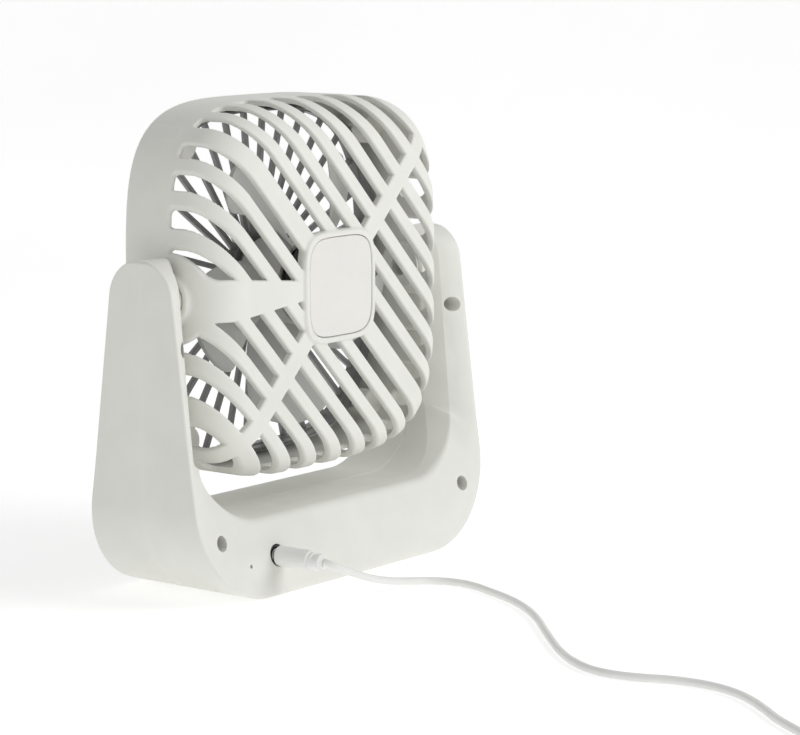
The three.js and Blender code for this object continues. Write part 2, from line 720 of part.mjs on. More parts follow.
// From the plug, down to the table and along it to the coil.
const CABLE_ROUTE = [
  [45, 51.4, 15.6], [45, 52.6, 15.6], [44.3, 54.6, 14.9], [41.5, 56.3, 13.4], [36, 57.6, 11],
  [30, 58.6, 8.7], [24, 59.4, 6.7], [15, 60.2, 4.5], [4, 61.8, 2.7], [-4, 65.3, 1.8],
  [-8.2, 72, 1.5], [-8.2, 80.5, 1.5], [-3.6, 93.5, 1.5], [2.2, 106.5, 1.5], [10, 119, 1.5],
  [21, 132, 1.5], [34, 144.5, 1.5], [47, 157, 1.5], [58.5, 169, 1.5], [67.3, 181, 1.5],
  [71.6, 191, 1.5], [72.2, 200, 1.5], [70.2, 209, 1.5], [67, 217, 1.5], [65.1, 226, 1.5],
  [65.3, 235.5, 1.5], [67.6, 244, 1.5], [72.4, 253, 1.5], [79.5, 262.5, 1.5], [87.5, 272, 1.5],
  [95.6, 284, 1.5], [102.4, 294.2, 1.5],
];

function addCable() {
  addPiece('cable_run', tube(CABLE_ROUTE, CABLE.radius, 8, 64), CABLE_PLASTIC);
  const { inner, outer, bottom, top, x, y } = COIL;
  const section = [[inner, bottom], [outer, bottom], [outer, top], [inner, top], [inner, bottom]];
  const ring = alignTo(
    new THREE.LatheGeometry(section.map(([r, h]) => new THREE.Vector2(r, h)), 36),
    'z',
  );
  ring.translate(x, y, 0);
  addPiece('cable_coil', outward(ring), CABLE_PLASTIC);
}

function addCoilTie() {
  const { inner, outer, bottom, top, x, y } = COIL;
  const width = 3;
  const strap = bottom - GAP;
  const tie = cut(
    box([x - outer - GAP - strap, y - width, 0], [x - inner + 2 * GAP + strap, y + width, top + bottom]),
    box([x - outer - GAP, y - FAR, strap], [x - inner + 2 * GAP, y + FAR, top + GAP]),
  );
  addPiece('coil_tie', tie, BLACK_PLASTIC);
}

// The tail leaves the coil's outer turn, at the far side, and the plug lies beside the coil.
function addUsbPlug() {
  const tailY = COIL.y + COIL.outer - 1.7;
  const exitX = COIL.x - 11.5;
  const [plugEnd, bodyEnd, shellEnd] = [exitX - 8.7, exitX - 28.7, exitX - 41];
  const tail = [[exitX, tailY, 4.4], [exitX - 4, tailY, 4.2], [exitX - 8.4, tailY, 4]];
  addPiece('cable_tail', tube(tail, CABLE.radius, 8, 3), CABLE_PLASTIC);
  const body = cut(
    box([bodyEnd, tailY - 7.5, 0.2], [plugEnd, tailY + 7.5, 7.8]),
    box([bodyEnd - 1, tailY - 5.7, 2.1], [bodyEnd + 3, tailY + 5.7, 5.9]),
  );
  addPiece('usb_plug_body', body, CABLE_PLASTIC);
  const shell = cut(
    box([shellEnd, tailY - 6, 1.75], [bodyEnd - GAP, tailY + 6, 6.25]),
    box([shellEnd - 1, tailY - 5.6, 2.15], [shellEnd + 9, tailY + 5.6, 4]),
  );
  addPiece('usb_plug_shell', shell, STEEL);
}

addStandShells();
addFeet();
addStandScrews();
addSpeedButton();
addElectronics();
addBattery();
addStandWires();
addPivots();
addRearHousing();
addBadge();
addFrontBezel();
addFrontGrille();
addMotor();
addHeadWire();
addImpeller();
addPlug();
addCable();
addCoilTie();
addUsbPlug();

export default group;
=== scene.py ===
"""A desk fan seen from behind: fine shells, grille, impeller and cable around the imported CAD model.

Shapes are worked out in millimetres and made in metres. +Z is up and the slatted rear faces +Y.
"""
import json
import math

import bmesh
import bpy
import numpy as np
from mathutils import Matrix, Vector

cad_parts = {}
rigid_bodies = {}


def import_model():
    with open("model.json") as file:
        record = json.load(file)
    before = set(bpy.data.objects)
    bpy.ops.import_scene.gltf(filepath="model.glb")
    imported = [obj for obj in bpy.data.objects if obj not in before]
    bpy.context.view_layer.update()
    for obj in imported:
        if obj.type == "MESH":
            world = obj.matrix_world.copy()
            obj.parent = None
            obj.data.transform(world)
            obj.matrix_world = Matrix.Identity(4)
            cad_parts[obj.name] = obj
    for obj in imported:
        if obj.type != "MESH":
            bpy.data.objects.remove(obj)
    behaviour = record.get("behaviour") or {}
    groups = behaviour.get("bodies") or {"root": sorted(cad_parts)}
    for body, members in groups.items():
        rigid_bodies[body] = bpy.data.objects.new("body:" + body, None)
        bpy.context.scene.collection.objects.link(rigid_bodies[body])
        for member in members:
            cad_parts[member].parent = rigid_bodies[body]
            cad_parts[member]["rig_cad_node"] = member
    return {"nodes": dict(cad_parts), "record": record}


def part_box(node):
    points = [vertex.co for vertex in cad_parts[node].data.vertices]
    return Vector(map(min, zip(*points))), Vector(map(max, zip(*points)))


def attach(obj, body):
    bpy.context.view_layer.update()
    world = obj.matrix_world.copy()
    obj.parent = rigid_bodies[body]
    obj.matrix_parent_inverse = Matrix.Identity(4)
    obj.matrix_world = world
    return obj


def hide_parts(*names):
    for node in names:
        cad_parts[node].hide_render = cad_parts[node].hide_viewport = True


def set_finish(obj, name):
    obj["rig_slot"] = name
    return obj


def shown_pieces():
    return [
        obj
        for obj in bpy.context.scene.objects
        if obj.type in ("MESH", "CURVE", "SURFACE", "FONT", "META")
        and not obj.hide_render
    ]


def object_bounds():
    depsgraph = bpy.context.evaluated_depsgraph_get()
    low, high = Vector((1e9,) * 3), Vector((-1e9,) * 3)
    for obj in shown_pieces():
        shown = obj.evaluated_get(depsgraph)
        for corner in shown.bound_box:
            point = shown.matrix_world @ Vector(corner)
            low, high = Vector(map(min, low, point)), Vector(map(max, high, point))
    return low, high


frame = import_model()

cad_low, cad_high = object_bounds()
scene = bpy.context.scene
MM = 0.001


def placed(name, data):
    """A new object in the scene."""
    made = bpy.data.objects.new(name, data)
    scene.collection.objects.link(made)
    return made


def box(name):
    """The lowest and highest corner of a CAD node, in millimetres."""
    return [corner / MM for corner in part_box(name)]


def smooth_step(t):
    t = min(max(t, 0.0), 1.0)
    return t * t * (3 - 2 * t)


def mix(pair, t):
    return pair[0] + (pair[1] - pair[0]) * t


# ---- camera ---------------------------------------------------------------------

CAMERA_PLACE = (880.83, 725.97, 252.79)
CAMERA_TARGET = (-21.35, 36.32, 80.85)
CAMERA_LENS = 130.87
CAMERA_SENSOR = 36.0


def facing(place, target):
    """The rotation of a camera or light at place that looks at target, which is in millimetres."""
    return (Vector(target) * MM - place).to_track_quat("-Z", "Y").to_euler()


def make_camera():
    data = bpy.data.cameras.new("camera")
    data.lens = CAMERA_LENS
    data.sensor_width = CAMERA_SENSOR
    data.clip_start = 0.05
    data.clip_end = 20
    camera = placed("camera", data)
    place = Vector(CAMERA_PLACE) * MM
    camera.location = place
    camera.rotation_euler = facing(place, CAMERA_TARGET)
    scene.camera = camera


make_camera()

# ---- cable ----------------------------------------------------------------------

CABLE_RADIUS = 1.5
# From the plug, down to the table and along it to the coil.
CABLE_ROUTE = [
    (45, 51.4, 15.6), (45, 52.6, 15.6), (44.3, 54.6, 14.9), (41.5, 56.3, 13.4), (36, 57.6, 11),
    (30, 58.6, 8.7), (24, 59.4, 6.7), (15, 60.2, 4.5), (4, 61.8, 2.7), (-4, 65.3, 1.8),
    (-8.2, 72, 1.5), (-8.2, 80.5, 1.5), (-3.6, 93.5, 1.5), (2.2, 106.5, 1.5), (10, 119, 1.5),
    (21, 132, 1.5), (34, 144.5, 1.5), (47, 157, 1.5), (58.5, 169, 1.5), (67.3, 181, 1.5),
    (71.6, 191, 1.5), (72.2, 200, 1.5), (70.2, 209, 1.5), (67, 217, 1.5), (65.1, 226, 1.5),
    (65.3, 235.5, 1.5), (67.6, 244, 1.5), (72.4, 253, 1.5), (79.5, 262.5, 1.5), (87.5, 272, 1.5),
    (95.6, 284, 1.5), (102.4, 294.2, 1.5),
]
COIL_CENTRE = (92.8, 315)
COIL_RADII = [19.5, 16.5, 13.5, 13.5, 16.5, 19.5]  # the lower layer inwards, the upper one outwards
COIL_START = -33.6  # degrees
COIL_END = 90
COIL_CROSSING = 50  # degrees over which each turn moves to the next place
COIL_STEP = 12
TIE_LIFT = 0.7  # the tie passes under the coil on its -X side


def coil_points():
    """The turns of the coil, each one beside or on the last."""
    points = []
    last = COIL_END + 360 * (len(COIL_RADII) - 1)
    steps = round((last - COIL_START) / COIL_STEP)
    for i in range(steps + 1):
        angle = COIL_START + (last - COIL_START) * i / steps
        turn, within = divmod(angle - COIL_START, 360)
        turn = int(turn)
        radius, height = COIL_RADII[turn], coil_height(turn)
        if turn + 1 < len(COIL_RADII):
            moved = smooth_step((within - (360 - COIL_CROSSING)) / COIL_CROSSING)
            radius += (COIL_RADII[turn + 1] - radius) * moved
            height += (coil_height(turn + 1) - height) * moved
        a = math.radians(angle)
        lift = TIE_LIFT * math.exp(-(((angle % 360) - 180) / 60) ** 2)
        x = COIL_CENTRE[0] + radius * math.cos(a)
        y = COIL_CENTRE[1] + radius * math.sin(a)
        points.append((x, y, height + lift))
    return points


def coil_height(turn):
    layer = turn // (len(COIL_RADII) // 2)
    return CABLE_RADIUS * (1 + 2 * layer)


def cable_points():
    coil = coil_points()
    end_x, end_y, end_z = coil[-1]
    plug_x = box("usb_plug_body")[1].x
    tail = [
        (end_x + (plug_x - end_x) * t, end_y, end_z - (end_z - 4) * smooth_step(t))
        for t in (0.3, 0.55, 0.8, 1.04)
    ]
    return CABLE_ROUTE + coil + tail


def make_cable():
    curve = bpy.data.curves.new("cable", "CURVE")
    curve.dimensions = "3D"
    curve.bevel_depth = 1  # times each knot's radius
    curve.bevel_resolution = 4
    curve.resolution_u = 6
    curve.use_fill_caps = True
    points = cable_points()
    spline = curve.splines.new("BEZIER")
    spline.bezier_points.add(len(points) - 1)
    for knot, point in zip(spline.bezier_points, points):
        knot.co = Vector(point) * MM
        knot.radius = CABLE_RADIUS * MM
        knot.handle_left_type = knot.handle_right_type = "AUTO"
    return placed("usb_cable", curve)


cable = make_cable()
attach(cable, "stand")
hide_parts("cable_run", "cable_coil", "cable_tail")
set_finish(cable, "cable")

# ---- meshes ---------------------------------------------------------------------

SHARP_ANGLE = math.radians(38)


def mesh_from(name, points, faces):
    """A mesh in metres from points in millimetres."""
    mesh = bpy.data.meshes.new(name)
    mesh.from_pydata((np.asarray(points, float) * MM).tolist(), [], faces)
    mesh.validate()
    return mesh


def shade(mesh, angle=SHARP_ANGLE):
    mesh.shade_smooth()
    mesh.set_sharp_from_angle(angle=angle)


def outward(mesh):
    work = bmesh.new()
    work.from_mesh(mesh)
    bmesh.ops.recalc_face_normals(work, faces=work.faces)
    work.to_mesh(mesh)
    work.free()


def solid_piece(name, points, faces, angle=SHARP_ANGLE):
    mesh = mesh_from(name, points, faces)
    outward(mesh)
    shade(mesh, angle)
    return placed(name, mesh)


def ring_faces(rings, size, close_ends=True, closed_row=False):
    """Quads between rows of points, each row a closed ring of the same size."""
    faces = []
    for r in range(rings if closed_row else rings - 1):
        here, after = r * size, (r + 1) % rings * size
        for i in range(size):
            j = (i + 1) % size
            faces.append((here + i, here + j, after + j, after + i))
    if close_ends and not closed_row:
        faces.append(tuple(range(size)))
        faces.append(tuple((rings - 1) * size + i for i in range(size)))
    return faces


def loft(name, rings, angle=SHARP_ANGLE, closed_row=False):
    points = np.concatenate([np.asarray(ring, float) for ring in rings])
    faces = ring_faces(len(rings), len(rings[0]), closed_row=closed_row)
    return solid_piece(name, points, faces, angle)


def rounded(profile, radius, steps=4):
    """An open profile of (a, b) points with its corners made round.

    A corner's own radius may be its third value.
    """
    out = [tuple(profile[0][:2])]
    for before, corner, after in zip(profile, profile[1:], profile[2:]):
        own = corner[2] if len(corner) > 2 else radius
        p, a, b = (Vector(v[:2]) for v in (corner, before, after))
        to_a, to_b = a - p, b - p
        half = to_a.angle(to_b) / 2
        if own <= 0 or half > 1.55:
            out.append(tuple(p))
            continue
        reach = min(own / math.tan(half), 0.49 * to_a.length, 0.49 * to_b.length)
        start, end = p + to_a.normalized() * reach, p + to_b.normalized() * reach
        for i in range(steps + 1):
            t = i / steps
            out.append(tuple(start * (1 - t) ** 2 + p * (2 * t * (1 - t)) + end * t ** 2))
    out.append(tuple(profile[-1][:2]))
    return out


AXES = {
    "x": lambda r, h, a: (h, r * math.cos(a), r * math.sin(a)),
    "y": lambda r, h, a: (r * math.cos(a), h, r * math.sin(a)),
    "z": lambda r, h, a: (r * math.cos(a), r * math.sin(a), h),
}


def lathe(name, profile, centre, axis="y", sides=64, angle=SHARP_ANGLE):
    """A piece turned round an axis.

    The profile's (radius, height) points end on the axis or close on themselves.
    """
    place = AXES[axis]
    open_ends = profile[0][0] < 1e-6 and profile[-1][0] < 1e-6
    turns = [2 * math.pi * i / sides for i in range(sides)]
    rows = profile[1:-1] if open_ends else profile
    points = [place(r, h, a) for r, h in rows for a in turns]
    faces = ring_faces(len(rows), sides, close_ends=False, closed_row=not open_ends)
    if open_ends:
        for (_, h), first in ((profile[0], 0), (profile[-1], (len(rows) - 1) * sides)):
            points.append(place(0, h, 0))
            tip = len(points) - 1
            faces += [(first + i, first + (i + 1) % sides, tip) for i in range(sides)]
    return solid_piece(name, np.array(points) + np.array(centre), faces, angle)


def cylinder(radius, start, end, centre, axis="y", sides=48):
    """A plain cylinder for cutting."""
    return lathe("cutter", [(0, start), (radius, start), (radius, end), (0, end)], centre, axis, sides)


def merged(name, pieces):
    """One mesh piece that holds all of them."""
    work = bmesh.new()
    for piece in pieces:
        work.from_mesh(piece.data)
        bpy.data.objects.remove(piece)
    mesh = bpy.data.meshes.new(name)
    work.to_mesh(mesh)
    work.free()
    return placed(name, mesh)


def cut(piece, tool):
    """Takes tool's shape out of piece for good, and removes the tool."""
    modifier = piece.modifiers.new("cut", "BOOLEAN")
    modifier.operation = "DIFFERENCE"
    modifier.object = tool
    modifier.solver = "EXACT"
    shown = piece.evaluated_get(bpy.context.evaluated_depsgraph_get())
    mesh = bpy.data.meshes.new_from_object(shown)
    piece.modifiers.clear()
    piece.data = mesh
    bpy.data.objects.remove(tool)


def stand_for(piece, body, slot, *nodes):
    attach(piece, body)
    if nodes:
        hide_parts(*nodes)
    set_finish(piece, slot)
    return piece


# ---- surfaces from distance fields ----------------------------------------------


def round_union(a, b, radius):
    u = np.maximum(radius - a, 0)
    v = np.maximum(radius - b, 0)
    return np.maximum(radius, np.minimum(a, b)) - np.hypot(u, v)


def round_intersection(a, b, radius):
    return -round_union(-a, -b, radius)


def box_corner(u, v, radius):
    """Distance to a corner of two half-planes u < 0 and v < 0 that is rounded inside."""
    p, q = u + radius, v + radius
    return np.hypot(np.maximum(p, 0), np.maximum(q, 0)) + np.minimum(np.maximum(p, q), 0) - radius


def superellipse(x, z, exponent):
    """The superellipse's size through (x, z), and how fast that size grows away from it."""
    p = (np.abs(x) + 1e-9) ** exponent + (np.abs(z) + 1e-9) ** exponent
    size = p ** (1 / exponent)
    power = 2 * exponent - 2
    q = (np.abs(x) + 1e-9) ** power + (np.abs(z) + 1e-9) ** power
    return size, np.sqrt(q) / size ** (exponent - 1)


def gradient(field, p, step=0.05):
    axes = np.eye(3) * step
    slopes = [(field(*(p + d).T) - field(*(p - d).T)) / (2 * step) for d in axes]
    return np.stack(slopes, axis=1)


def surface_net(field, grid):
    """Points on field = 0, one in each grid cell that it crosses, and the quads between them."""
    values = field(*np.meshgrid(*grid, indexing="ij"))
    inside = values < 0
    shape = [len(g) - 1 for g in grid]
    corners = [(i, j, k) for i in (0, 1) for j in (0, 1) for k in (0, 1)]

    def at(array, corner):
        return array[tuple(slice(c, c + n) for c, n in zip(corner, shape))]

    count = sum(at(inside, c).astype(np.int8) for c in corners)
    cells = np.argwhere((count > 0) & (count < 8))
    number = np.full(shape, -1)
    number[tuple(cells.T)] = np.arange(len(cells))
    total = np.zeros((len(cells), 3))
    crossings = np.zeros(len(cells))
    for corner in corners:
        for axis in range(3):
            if corner[axis]:
                continue
            low = cells + corner
            high = low.copy()
            high[:, axis] += 1
            a, b = values[tuple(low.T)], values[tuple(high.T)]
            hit = (a < 0) != (b < 0)
            t = np.where(hit, a / np.where(hit, a - b, 1), 0)
            place = np.stack([grid[k][low[:, k]] for k in range(3)], axis=1)
            place[:, axis] += t * (grid[axis][high[:, axis]] - grid[axis][low[:, axis]])
            total += place * hit[:, None]
            crossings += hit
    points = total / crossings[:, None]
    faces = []
    for axis in range(3):
        b, c = (axis + 1) % 3, (axis + 2) % 3
        low = [slice(1, -1)] * 3
        low[axis] = slice(0, -1)
        high = list(low)
        high[axis] = slice(1, None)
        start, end = inside[tuple(low)], inside[tuple(high)]
        edges = np.argwhere(start != end)
        flip = start[tuple(edges.T)]
        edges[:, b] += 1
        edges[:, c] += 1
        ring = []
        for db, dc in ((1, 1), (0, 1), (0, 0), (1, 0)):
            cell = edges.copy()
            cell[:, b] -= db
            cell[:, c] -= dc
            ring.append(number[tuple(cell.T)])
        quads = np.stack(ring, axis=1)
        quads[~flip] = quads[~flip][:, ::-1]
        faces.append(quads)
    return points, np.concatenate(faces)


def field_piece(name, field, grid, centre=(0, 0, 0), settle=3):
    """A smooth piece on field = 0, in millimetres round centre."""
    points, quads = surface_net(field, grid)
    for _ in range(settle):
        slope = gradient(field, points)
        size = np.maximum((slope ** 2).sum(axis=1), 0.3)
        points -= (field(*points.T) / size)[:, None] * slope
    normals = gradient(field, points)
    normals /= np.maximum(np.linalg.norm(normals, axis=1), 1e-9)[:, None]
    mesh = bpy.data.meshes.new(name)
    mesh.vertices.add(len(points))
    mesh.vertices.foreach_set("co", ((points + np.array(centre)) * MM).astype(np.float32).ravel())
    mesh.loops.add(quads.size)
    mesh.loops.foreach_set("vertex_index", quads.astype(np.int32).ravel())
    mesh.polygons.add(len(quads))
    mesh.polygons.foreach_set("loop_start", np.arange(0, quads.size, 4, dtype=np.int32))
    mesh.update(calc_edges=True)
    mesh.validate()
    mesh.shade_smooth()
    mesh.normals_split_custom_set_from_vertices(normals.astype(np.float32))
    return placed(name, mesh)


def lines(*stretches):
    """Grid lines: stretches of (start, end, spacing) that meet end to end."""
    out = []
    for start, end, spacing in stretches:
        count = max(1, round((end - start) / spacing))
        out += [start + (end - start) * i / count for i in range(count)]
    return np.array(out + [stretches[-1][1]])


# ---- rear housing ---------------------------------------------------------------

PIVOT_Z = sum(corner.z for corner in box("left_pivot")) / 2
HEAD_CENTRE = (0, 0, PIVOT_Z)
HEAD_HALF = box("rear_housing")[1].x
HEAD_EXPONENT = 4
HEAD_FRONT = box("rear_housing")[0].y
HEAD_REAR = 23
DOME = 17  # radius between the side wall and the rear face
WALL = 2.4
SLAT_DEPTH = 3.4
SLOT_FIRST, SLOT_PITCH, SLOT_WIDTH = 7, 11, 5.7
SLOT_START = -1  # where the slots begin along the side walls
SLOT_END_RADIUS = 1.7
SLOTS_LOW, SLOTS_HIGH = 8, 7  # towards the low and the high corner
LAST_SLOT_WIDTH = 4.2
DIAGONAL_RIB = 4
BADGE_EXPONENT = 4.5
BADGE_RIM, BADGE_INSERT = 21.8, 19.3
BADGE_RIM_Y, BADGE_SEAT_Y = 24.1, 22.4
SLAT_EDGE = 0.85  # rounding of every slat's edges
BOSS_RADIUS, BOSS_FACE = 9.6, 74.8
PIVOT_HOLE = 7.2
CORNER_SCREW = 57
GRILLE_ROOM, GRILLE_ROOM_EXPONENT = 67.8, 3.25  # the corner posts stay clear of this outline


def head_shell(x, y, z):
    """The head's outer skin, and the wall behind it."""
    size, grows = superellipse(x, z, HEAD_EXPONENT)
    flat = HEAD_HALF - DOME
    out, back = size - flat, y - (HEAD_REAR - DOME)
    reach = np.hypot(np.maximum(out, 0), np.maximum(back, 0))
    near = np.maximum(reach, 1e-6)
    share_back = np.where(reach > 0, np.maximum(back, 0) / near, back > out)
    share_out = np.where(reach > 0, np.maximum(out, 0) / near, back <= out)
    slope = np.sqrt((share_out * grows) ** 2 + share_back ** 2)
    outer = (np.where(reach > 0, reach, np.maximum(out, back)) - DOME) / slope
    wall = WALL + (SLAT_DEPTH - WALL) * share_back ** 2
    return outer, -(outer + wall)


def vent_slots(x, y, z):
    across = (x - z) / math.sqrt(2)
    last = np.where(across > 0, SLOTS_LOW, SLOTS_HIGH) - 1
    place = np.clip(np.round((np.abs(across) - SLOT_FIRST) / SLOT_PITCH), 0, last)
    half = np.where((across > 0) & (place == SLOTS_LOW - 1), LAST_SLOT_WIDTH, SLOT_WIDTH) / 2
    off = np.abs(np.abs(across) - SLOT_FIRST - SLOT_PITCH * place) - half
    return box_corner(off, SLOT_START - y, SLOT_END_RADIUS)


def ribs(x, y, z):
    """The parts of the rear face that no slot crosses."""
    size, grows = superellipse(x, z, BADGE_EXPONENT)
    badge = (size - BADGE_RIM) / grows
    diagonal = np.abs(x + z) / math.sqrt(2) - DIAGONAL_RIB
    t = np.clip((x - 20) / 42, 0, 1)
    arm = np.maximum(np.abs(z) - (3.8 + 4.2 * t), -x)
    left_disc = np.maximum(np.hypot(y, z) - 17.5, 52 - x)
    right_disc = np.maximum(np.hypot(y, z) - 10.5, 55 + x)
    left = round_union(arm, left_disc, 2.5)
    return np.minimum(round_union(np.minimum(badge, diagonal), left, 1.2), right_disc)


def housing_field(x, y, z):
    outer, inner = head_shell(x, y, z)
    shell = round_intersection(np.maximum(outer, inner), HEAD_FRONT - y, 0.5)
    vents = np.maximum(vent_slots(x, y, z), -ribs(x, y, z))
    body = round_intersection(shell, -vents, SLAT_EDGE)
    size, grows = superellipse(x, z, BADGE_EXPONENT)
    to_rim = (size - BADGE_RIM) / grows
    pad = round_intersection(to_rim, y - BADGE_RIM_Y, 0.9)
    pad = round_intersection(pad, HEAD_REAR - SLAT_DEPTH - y, 0.5)
    body = round_union(body, pad, 1.0)
    to_seat = (size - BADGE_INSERT - 0.25) / grows
    body = round_intersection(body, -np.maximum(to_seat, BADGE_SEAT_Y - y), 0.25)
    from_axis = np.hypot(y, z)
    boss = round_intersection(from_axis - BOSS_RADIUS, np.abs(x) - BOSS_FACE, 0.8)
    body = round_union(body, np.maximum(boss, 69 - np.abs(x)), 1.6)
    corner = np.hypot(np.abs(x) - CORNER_SCREW, np.abs(z) - CORNER_SCREW) - 6
    post = round_intersection(round_intersection(corner, y + 5, 1), -19.2 - y, 0.4)
    room, room_grows = superellipse(x, z, GRILLE_ROOM_EXPONENT)
    post = np.maximum(post, np.minimum((GRILLE_ROOM - room) / room_grows, -11.6 - y))
    body = round_union(body, np.maximum(post, outer + 0.6), 1.5)
    hole = np.maximum(from_axis - PIVOT_HOLE, 60 - np.abs(x))
    return np.maximum(body, -hole)


def make_housing():
    edge = HEAD_HALF + 1.9
    side = lines((-edge, -23, 0.8), (-23, -17, 0.5), (-17, 17, 0.8), (17, 23, 0.5), (23, edge, 0.8))
    depth = lines(
        (HEAD_FRONT - 1.2, HEAD_FRONT + 1.2, 0.4), (HEAD_FRONT + 1.2, -6, 1.6), (-6, 21.4, 0.75),
        (21.4, BADGE_RIM_Y + 0.7, 0.34),
    )
    return field_piece("rear_housing_shell", housing_field, (side, depth, side), HEAD_CENTRE)


rear_housing = make_housing()
stand_for(rear_housing, "head", "housing", "rear_housing")

# ---- stand ----------------------------------------------------------------------

STAND_BOTTOM = box("stand_rear_shell")[0].z
STAND_HALF, _, STAND_TOP = box("stand_rear_shell")[1]
ARM = 14.5
TROUGH = 30.6
OUTER_CORNER, INNER_CORNER = 38, 26
HALF_DEPTH = 31.3  # at the bottom
TAPER = 0.13  # half-depth lost for each millimetre of height
TOP_ROUND = 13
RIM = 1.3
DISH_LINEAR, DISH_SQUARE = 3.5, 4.5
# Each has a value in the base and one on the arms.
FACE_FALL = (8, 9.4)  # how much lower the face is at its inner edge
FACE_EDGE = (4.4, 2.4)  # radius of that edge
WALL_LEAN = (0.6, 5)  # how far the wall behind it leans in
LEAN_END = (0.7, 0.42)  # the share of the edge's depth at which the lean ends
STAND_WALL = 2
PARTING = 0.015  # half the gap between the two shells
PARTING_GROOVE = 0.28  # only in the trough and along the arms' inner walls
CAVITY_TOP = 124
ARM_HOLE = 5.9
SCREW_PLACES = [(84.1, 98.1), (75.9, 25), (-84.1, 98.1), (-75.9, 25)]
SCREW_HOLE, SCREW_SEAT = 3, 6
JACK_PLACE = (45, 15.6)
LED_PLACE = (61.3, 14)
BUTTON_Z = 15.6
BUTTON_RADIUS = 6
FOOT_PLACES = [(42, 20), (-42, 20), (42, -20), (-42, -20)]


def stand_stations(inset, top):
    """Stations round the U, from one arm's top to the other's.

    Each has its outer and inner point, how much of its depth is left, and how far its
    walls are drawn in.
    """
    outer_x, inner_x = STAND_HALF - inset, STAND_HALF - ARM + inset
    outer_centre = (STAND_HALF - OUTER_CORNER, STAND_BOTTOM + OUTER_CORNER)
    inner_centre = (STAND_HALF - ARM - INNER_CORNER, TROUGH + INNER_CORNER)
    half = []
    for i in range(20):
        a = math.pi / 2 * (1 - i / 19)
        z = STAND_TOP - TOP_ROUND * (1 - math.sin(a))
        depth = half_depth(z)
        left = (depth - TOP_ROUND * (1 - math.cos(a))) / depth
        past = max(0, z - (STAND_TOP - RIM))
        edge = 0 if inset else RIM - math.sqrt(max(RIM ** 2 - past ** 2, 0))
        if z <= top:
            half.append(((outer_x, z), (inner_x, z), left, edge))
    first = half[0][0][1]
    if first < top - 0.5:
        half.insert(0, ((outer_x, top), (inner_x, top), half[0][2], 0))
    start = STAND_TOP - TOP_ROUND
    for i in range(1, 11):
        z = start + (inner_centre[1] - start) * i / 10
        half.append(((outer_x, z), (inner_x, z), 1, 0))
    for i in range(1, 5):
        z = inner_centre[1] + (outer_centre[1] - inner_centre[1]) * i / 4
        half.append(((outer_x, z), (inner_x, inner_centre[1]), 1, 0))
    for i in range(1, 25):
        a = math.pi / 2 * i / 24
        c, s = math.cos(a), math.sin(a)
        outer_r, inner_r = OUTER_CORNER - inset, INNER_CORNER + inset
        half.append((
            (outer_centre[0] + outer_r * c, outer_centre[1] - outer_r * s),
            (inner_centre[0] + inner_r * c, inner_centre[1] - inner_r * s), 1, 0,
        ))
    for i in range(1, 7):
        t = 1 - i / 7
        x_out, x_in = outer_centre[0] * t, inner_centre[0] * t
        half.append(((x_out, STAND_BOTTOM + inset), (x_in, TROUGH - inset), 1, 0))
    other = [((-o[0], o[1]), (-i[0], i[1]), left, edge) for o, i, left, edge in half[::-1]]
    return half + [((0, STAND_BOTTOM + inset), (0, TROUGH - inset), 1, 0)] + other


def half_depth(z):
    return HALF_DEPTH - TAPER * (z - STAND_BOTTOM)


def stand_section(outer, inner, left, edge, sign, shrink):
    """One closed ring of half of the U: up the outer wall, over the face and down the inner wall."""
    o, i = Vector(outer), Vector(inner)
    width = (i - o).length
    depth = half_depth(outer[1])
    arm = smooth_step((inner[1] - TROUGH) / INNER_CORNER)
    face = width - mix(WALL_LEAN, arm)
    bend = min(mix(FACE_EDGE, arm) * (0.4 + 0.6 * depth / HALF_DEPTH), face * 0.45)

    def face_depth(p):
        u = p / face
        dish = (DISH_LINEAR * u + DISH_SQUARE * u * u) / (DISH_LINEAR + DISH_SQUARE)
        return depth * (1 - mix(FACE_FALL, arm) * dish / HALF_DEPTH)

    rim = [RIM * (1 - math.cos(math.pi / 2 * k / 6)) for k in range(7)]
    ring = [(p, face_depth(p) - RIM + math.sqrt(RIM ** 2 - (RIM - p) ** 2)) for p in rim]
    ring += [(p, face_depth(p)) for p in (RIM + (face - bend - RIM) * k / 9 for k in range(1, 9))]
    edge_depth = face_depth(face)
    foot = (width, edge_depth * mix(LEAN_END, arm))
    bent = rounded([ring[-1], (face, edge_depth, bend), foot, (width, 0)], 1.5, 8)
    ring += bent[1:-1]
    ring = [(p, max(y * left - shrink, 0.6)) for p, y in ring]
    base = -1 if shrink else PARTING
    groove = 0 if shrink else PARTING_GROOVE
    start, end = ring[0], ring[-1]
    walls = [0.08, 0.35, 0.7]
    up = [(start[0], base)] + [(start[0], base + (start[1] - base) * k) for k in walls]
    down = [(end[0], base + (end[1] - base) * k) for k in walls[::-1]]
    down += [(end[0], base + groove + 0.02), (end[0] - groove, base)]
    scale = (width - 2 * edge) / width
    points = []
    for p, y in up + ring + down:
        at = o + (i - o) * ((edge + p * scale) / width)
        points.append((at.x, sign * y, at.y))
    return points


def stand_loft(name, sign, inset=0, top=STAND_TOP, shrink=0):
    rings = [
        stand_section(outer, inner, left, edge, sign, shrink)
        for outer, inner, left, edge in stand_stations(inset, top)
    ]
    return loft(name, rings, angle=math.radians(32))


def screw_bosses(sign):
    tool = merged("bosses", [cylinder(4.3, -2, 40, (x, 0, z)) for x, z in SCREW_PLACES])
    if sign < 0:
        tool.data.transform(Matrix.Scale(-1, 4, (0, 1, 0)))
        tool.data.flip_normals()
    return tool


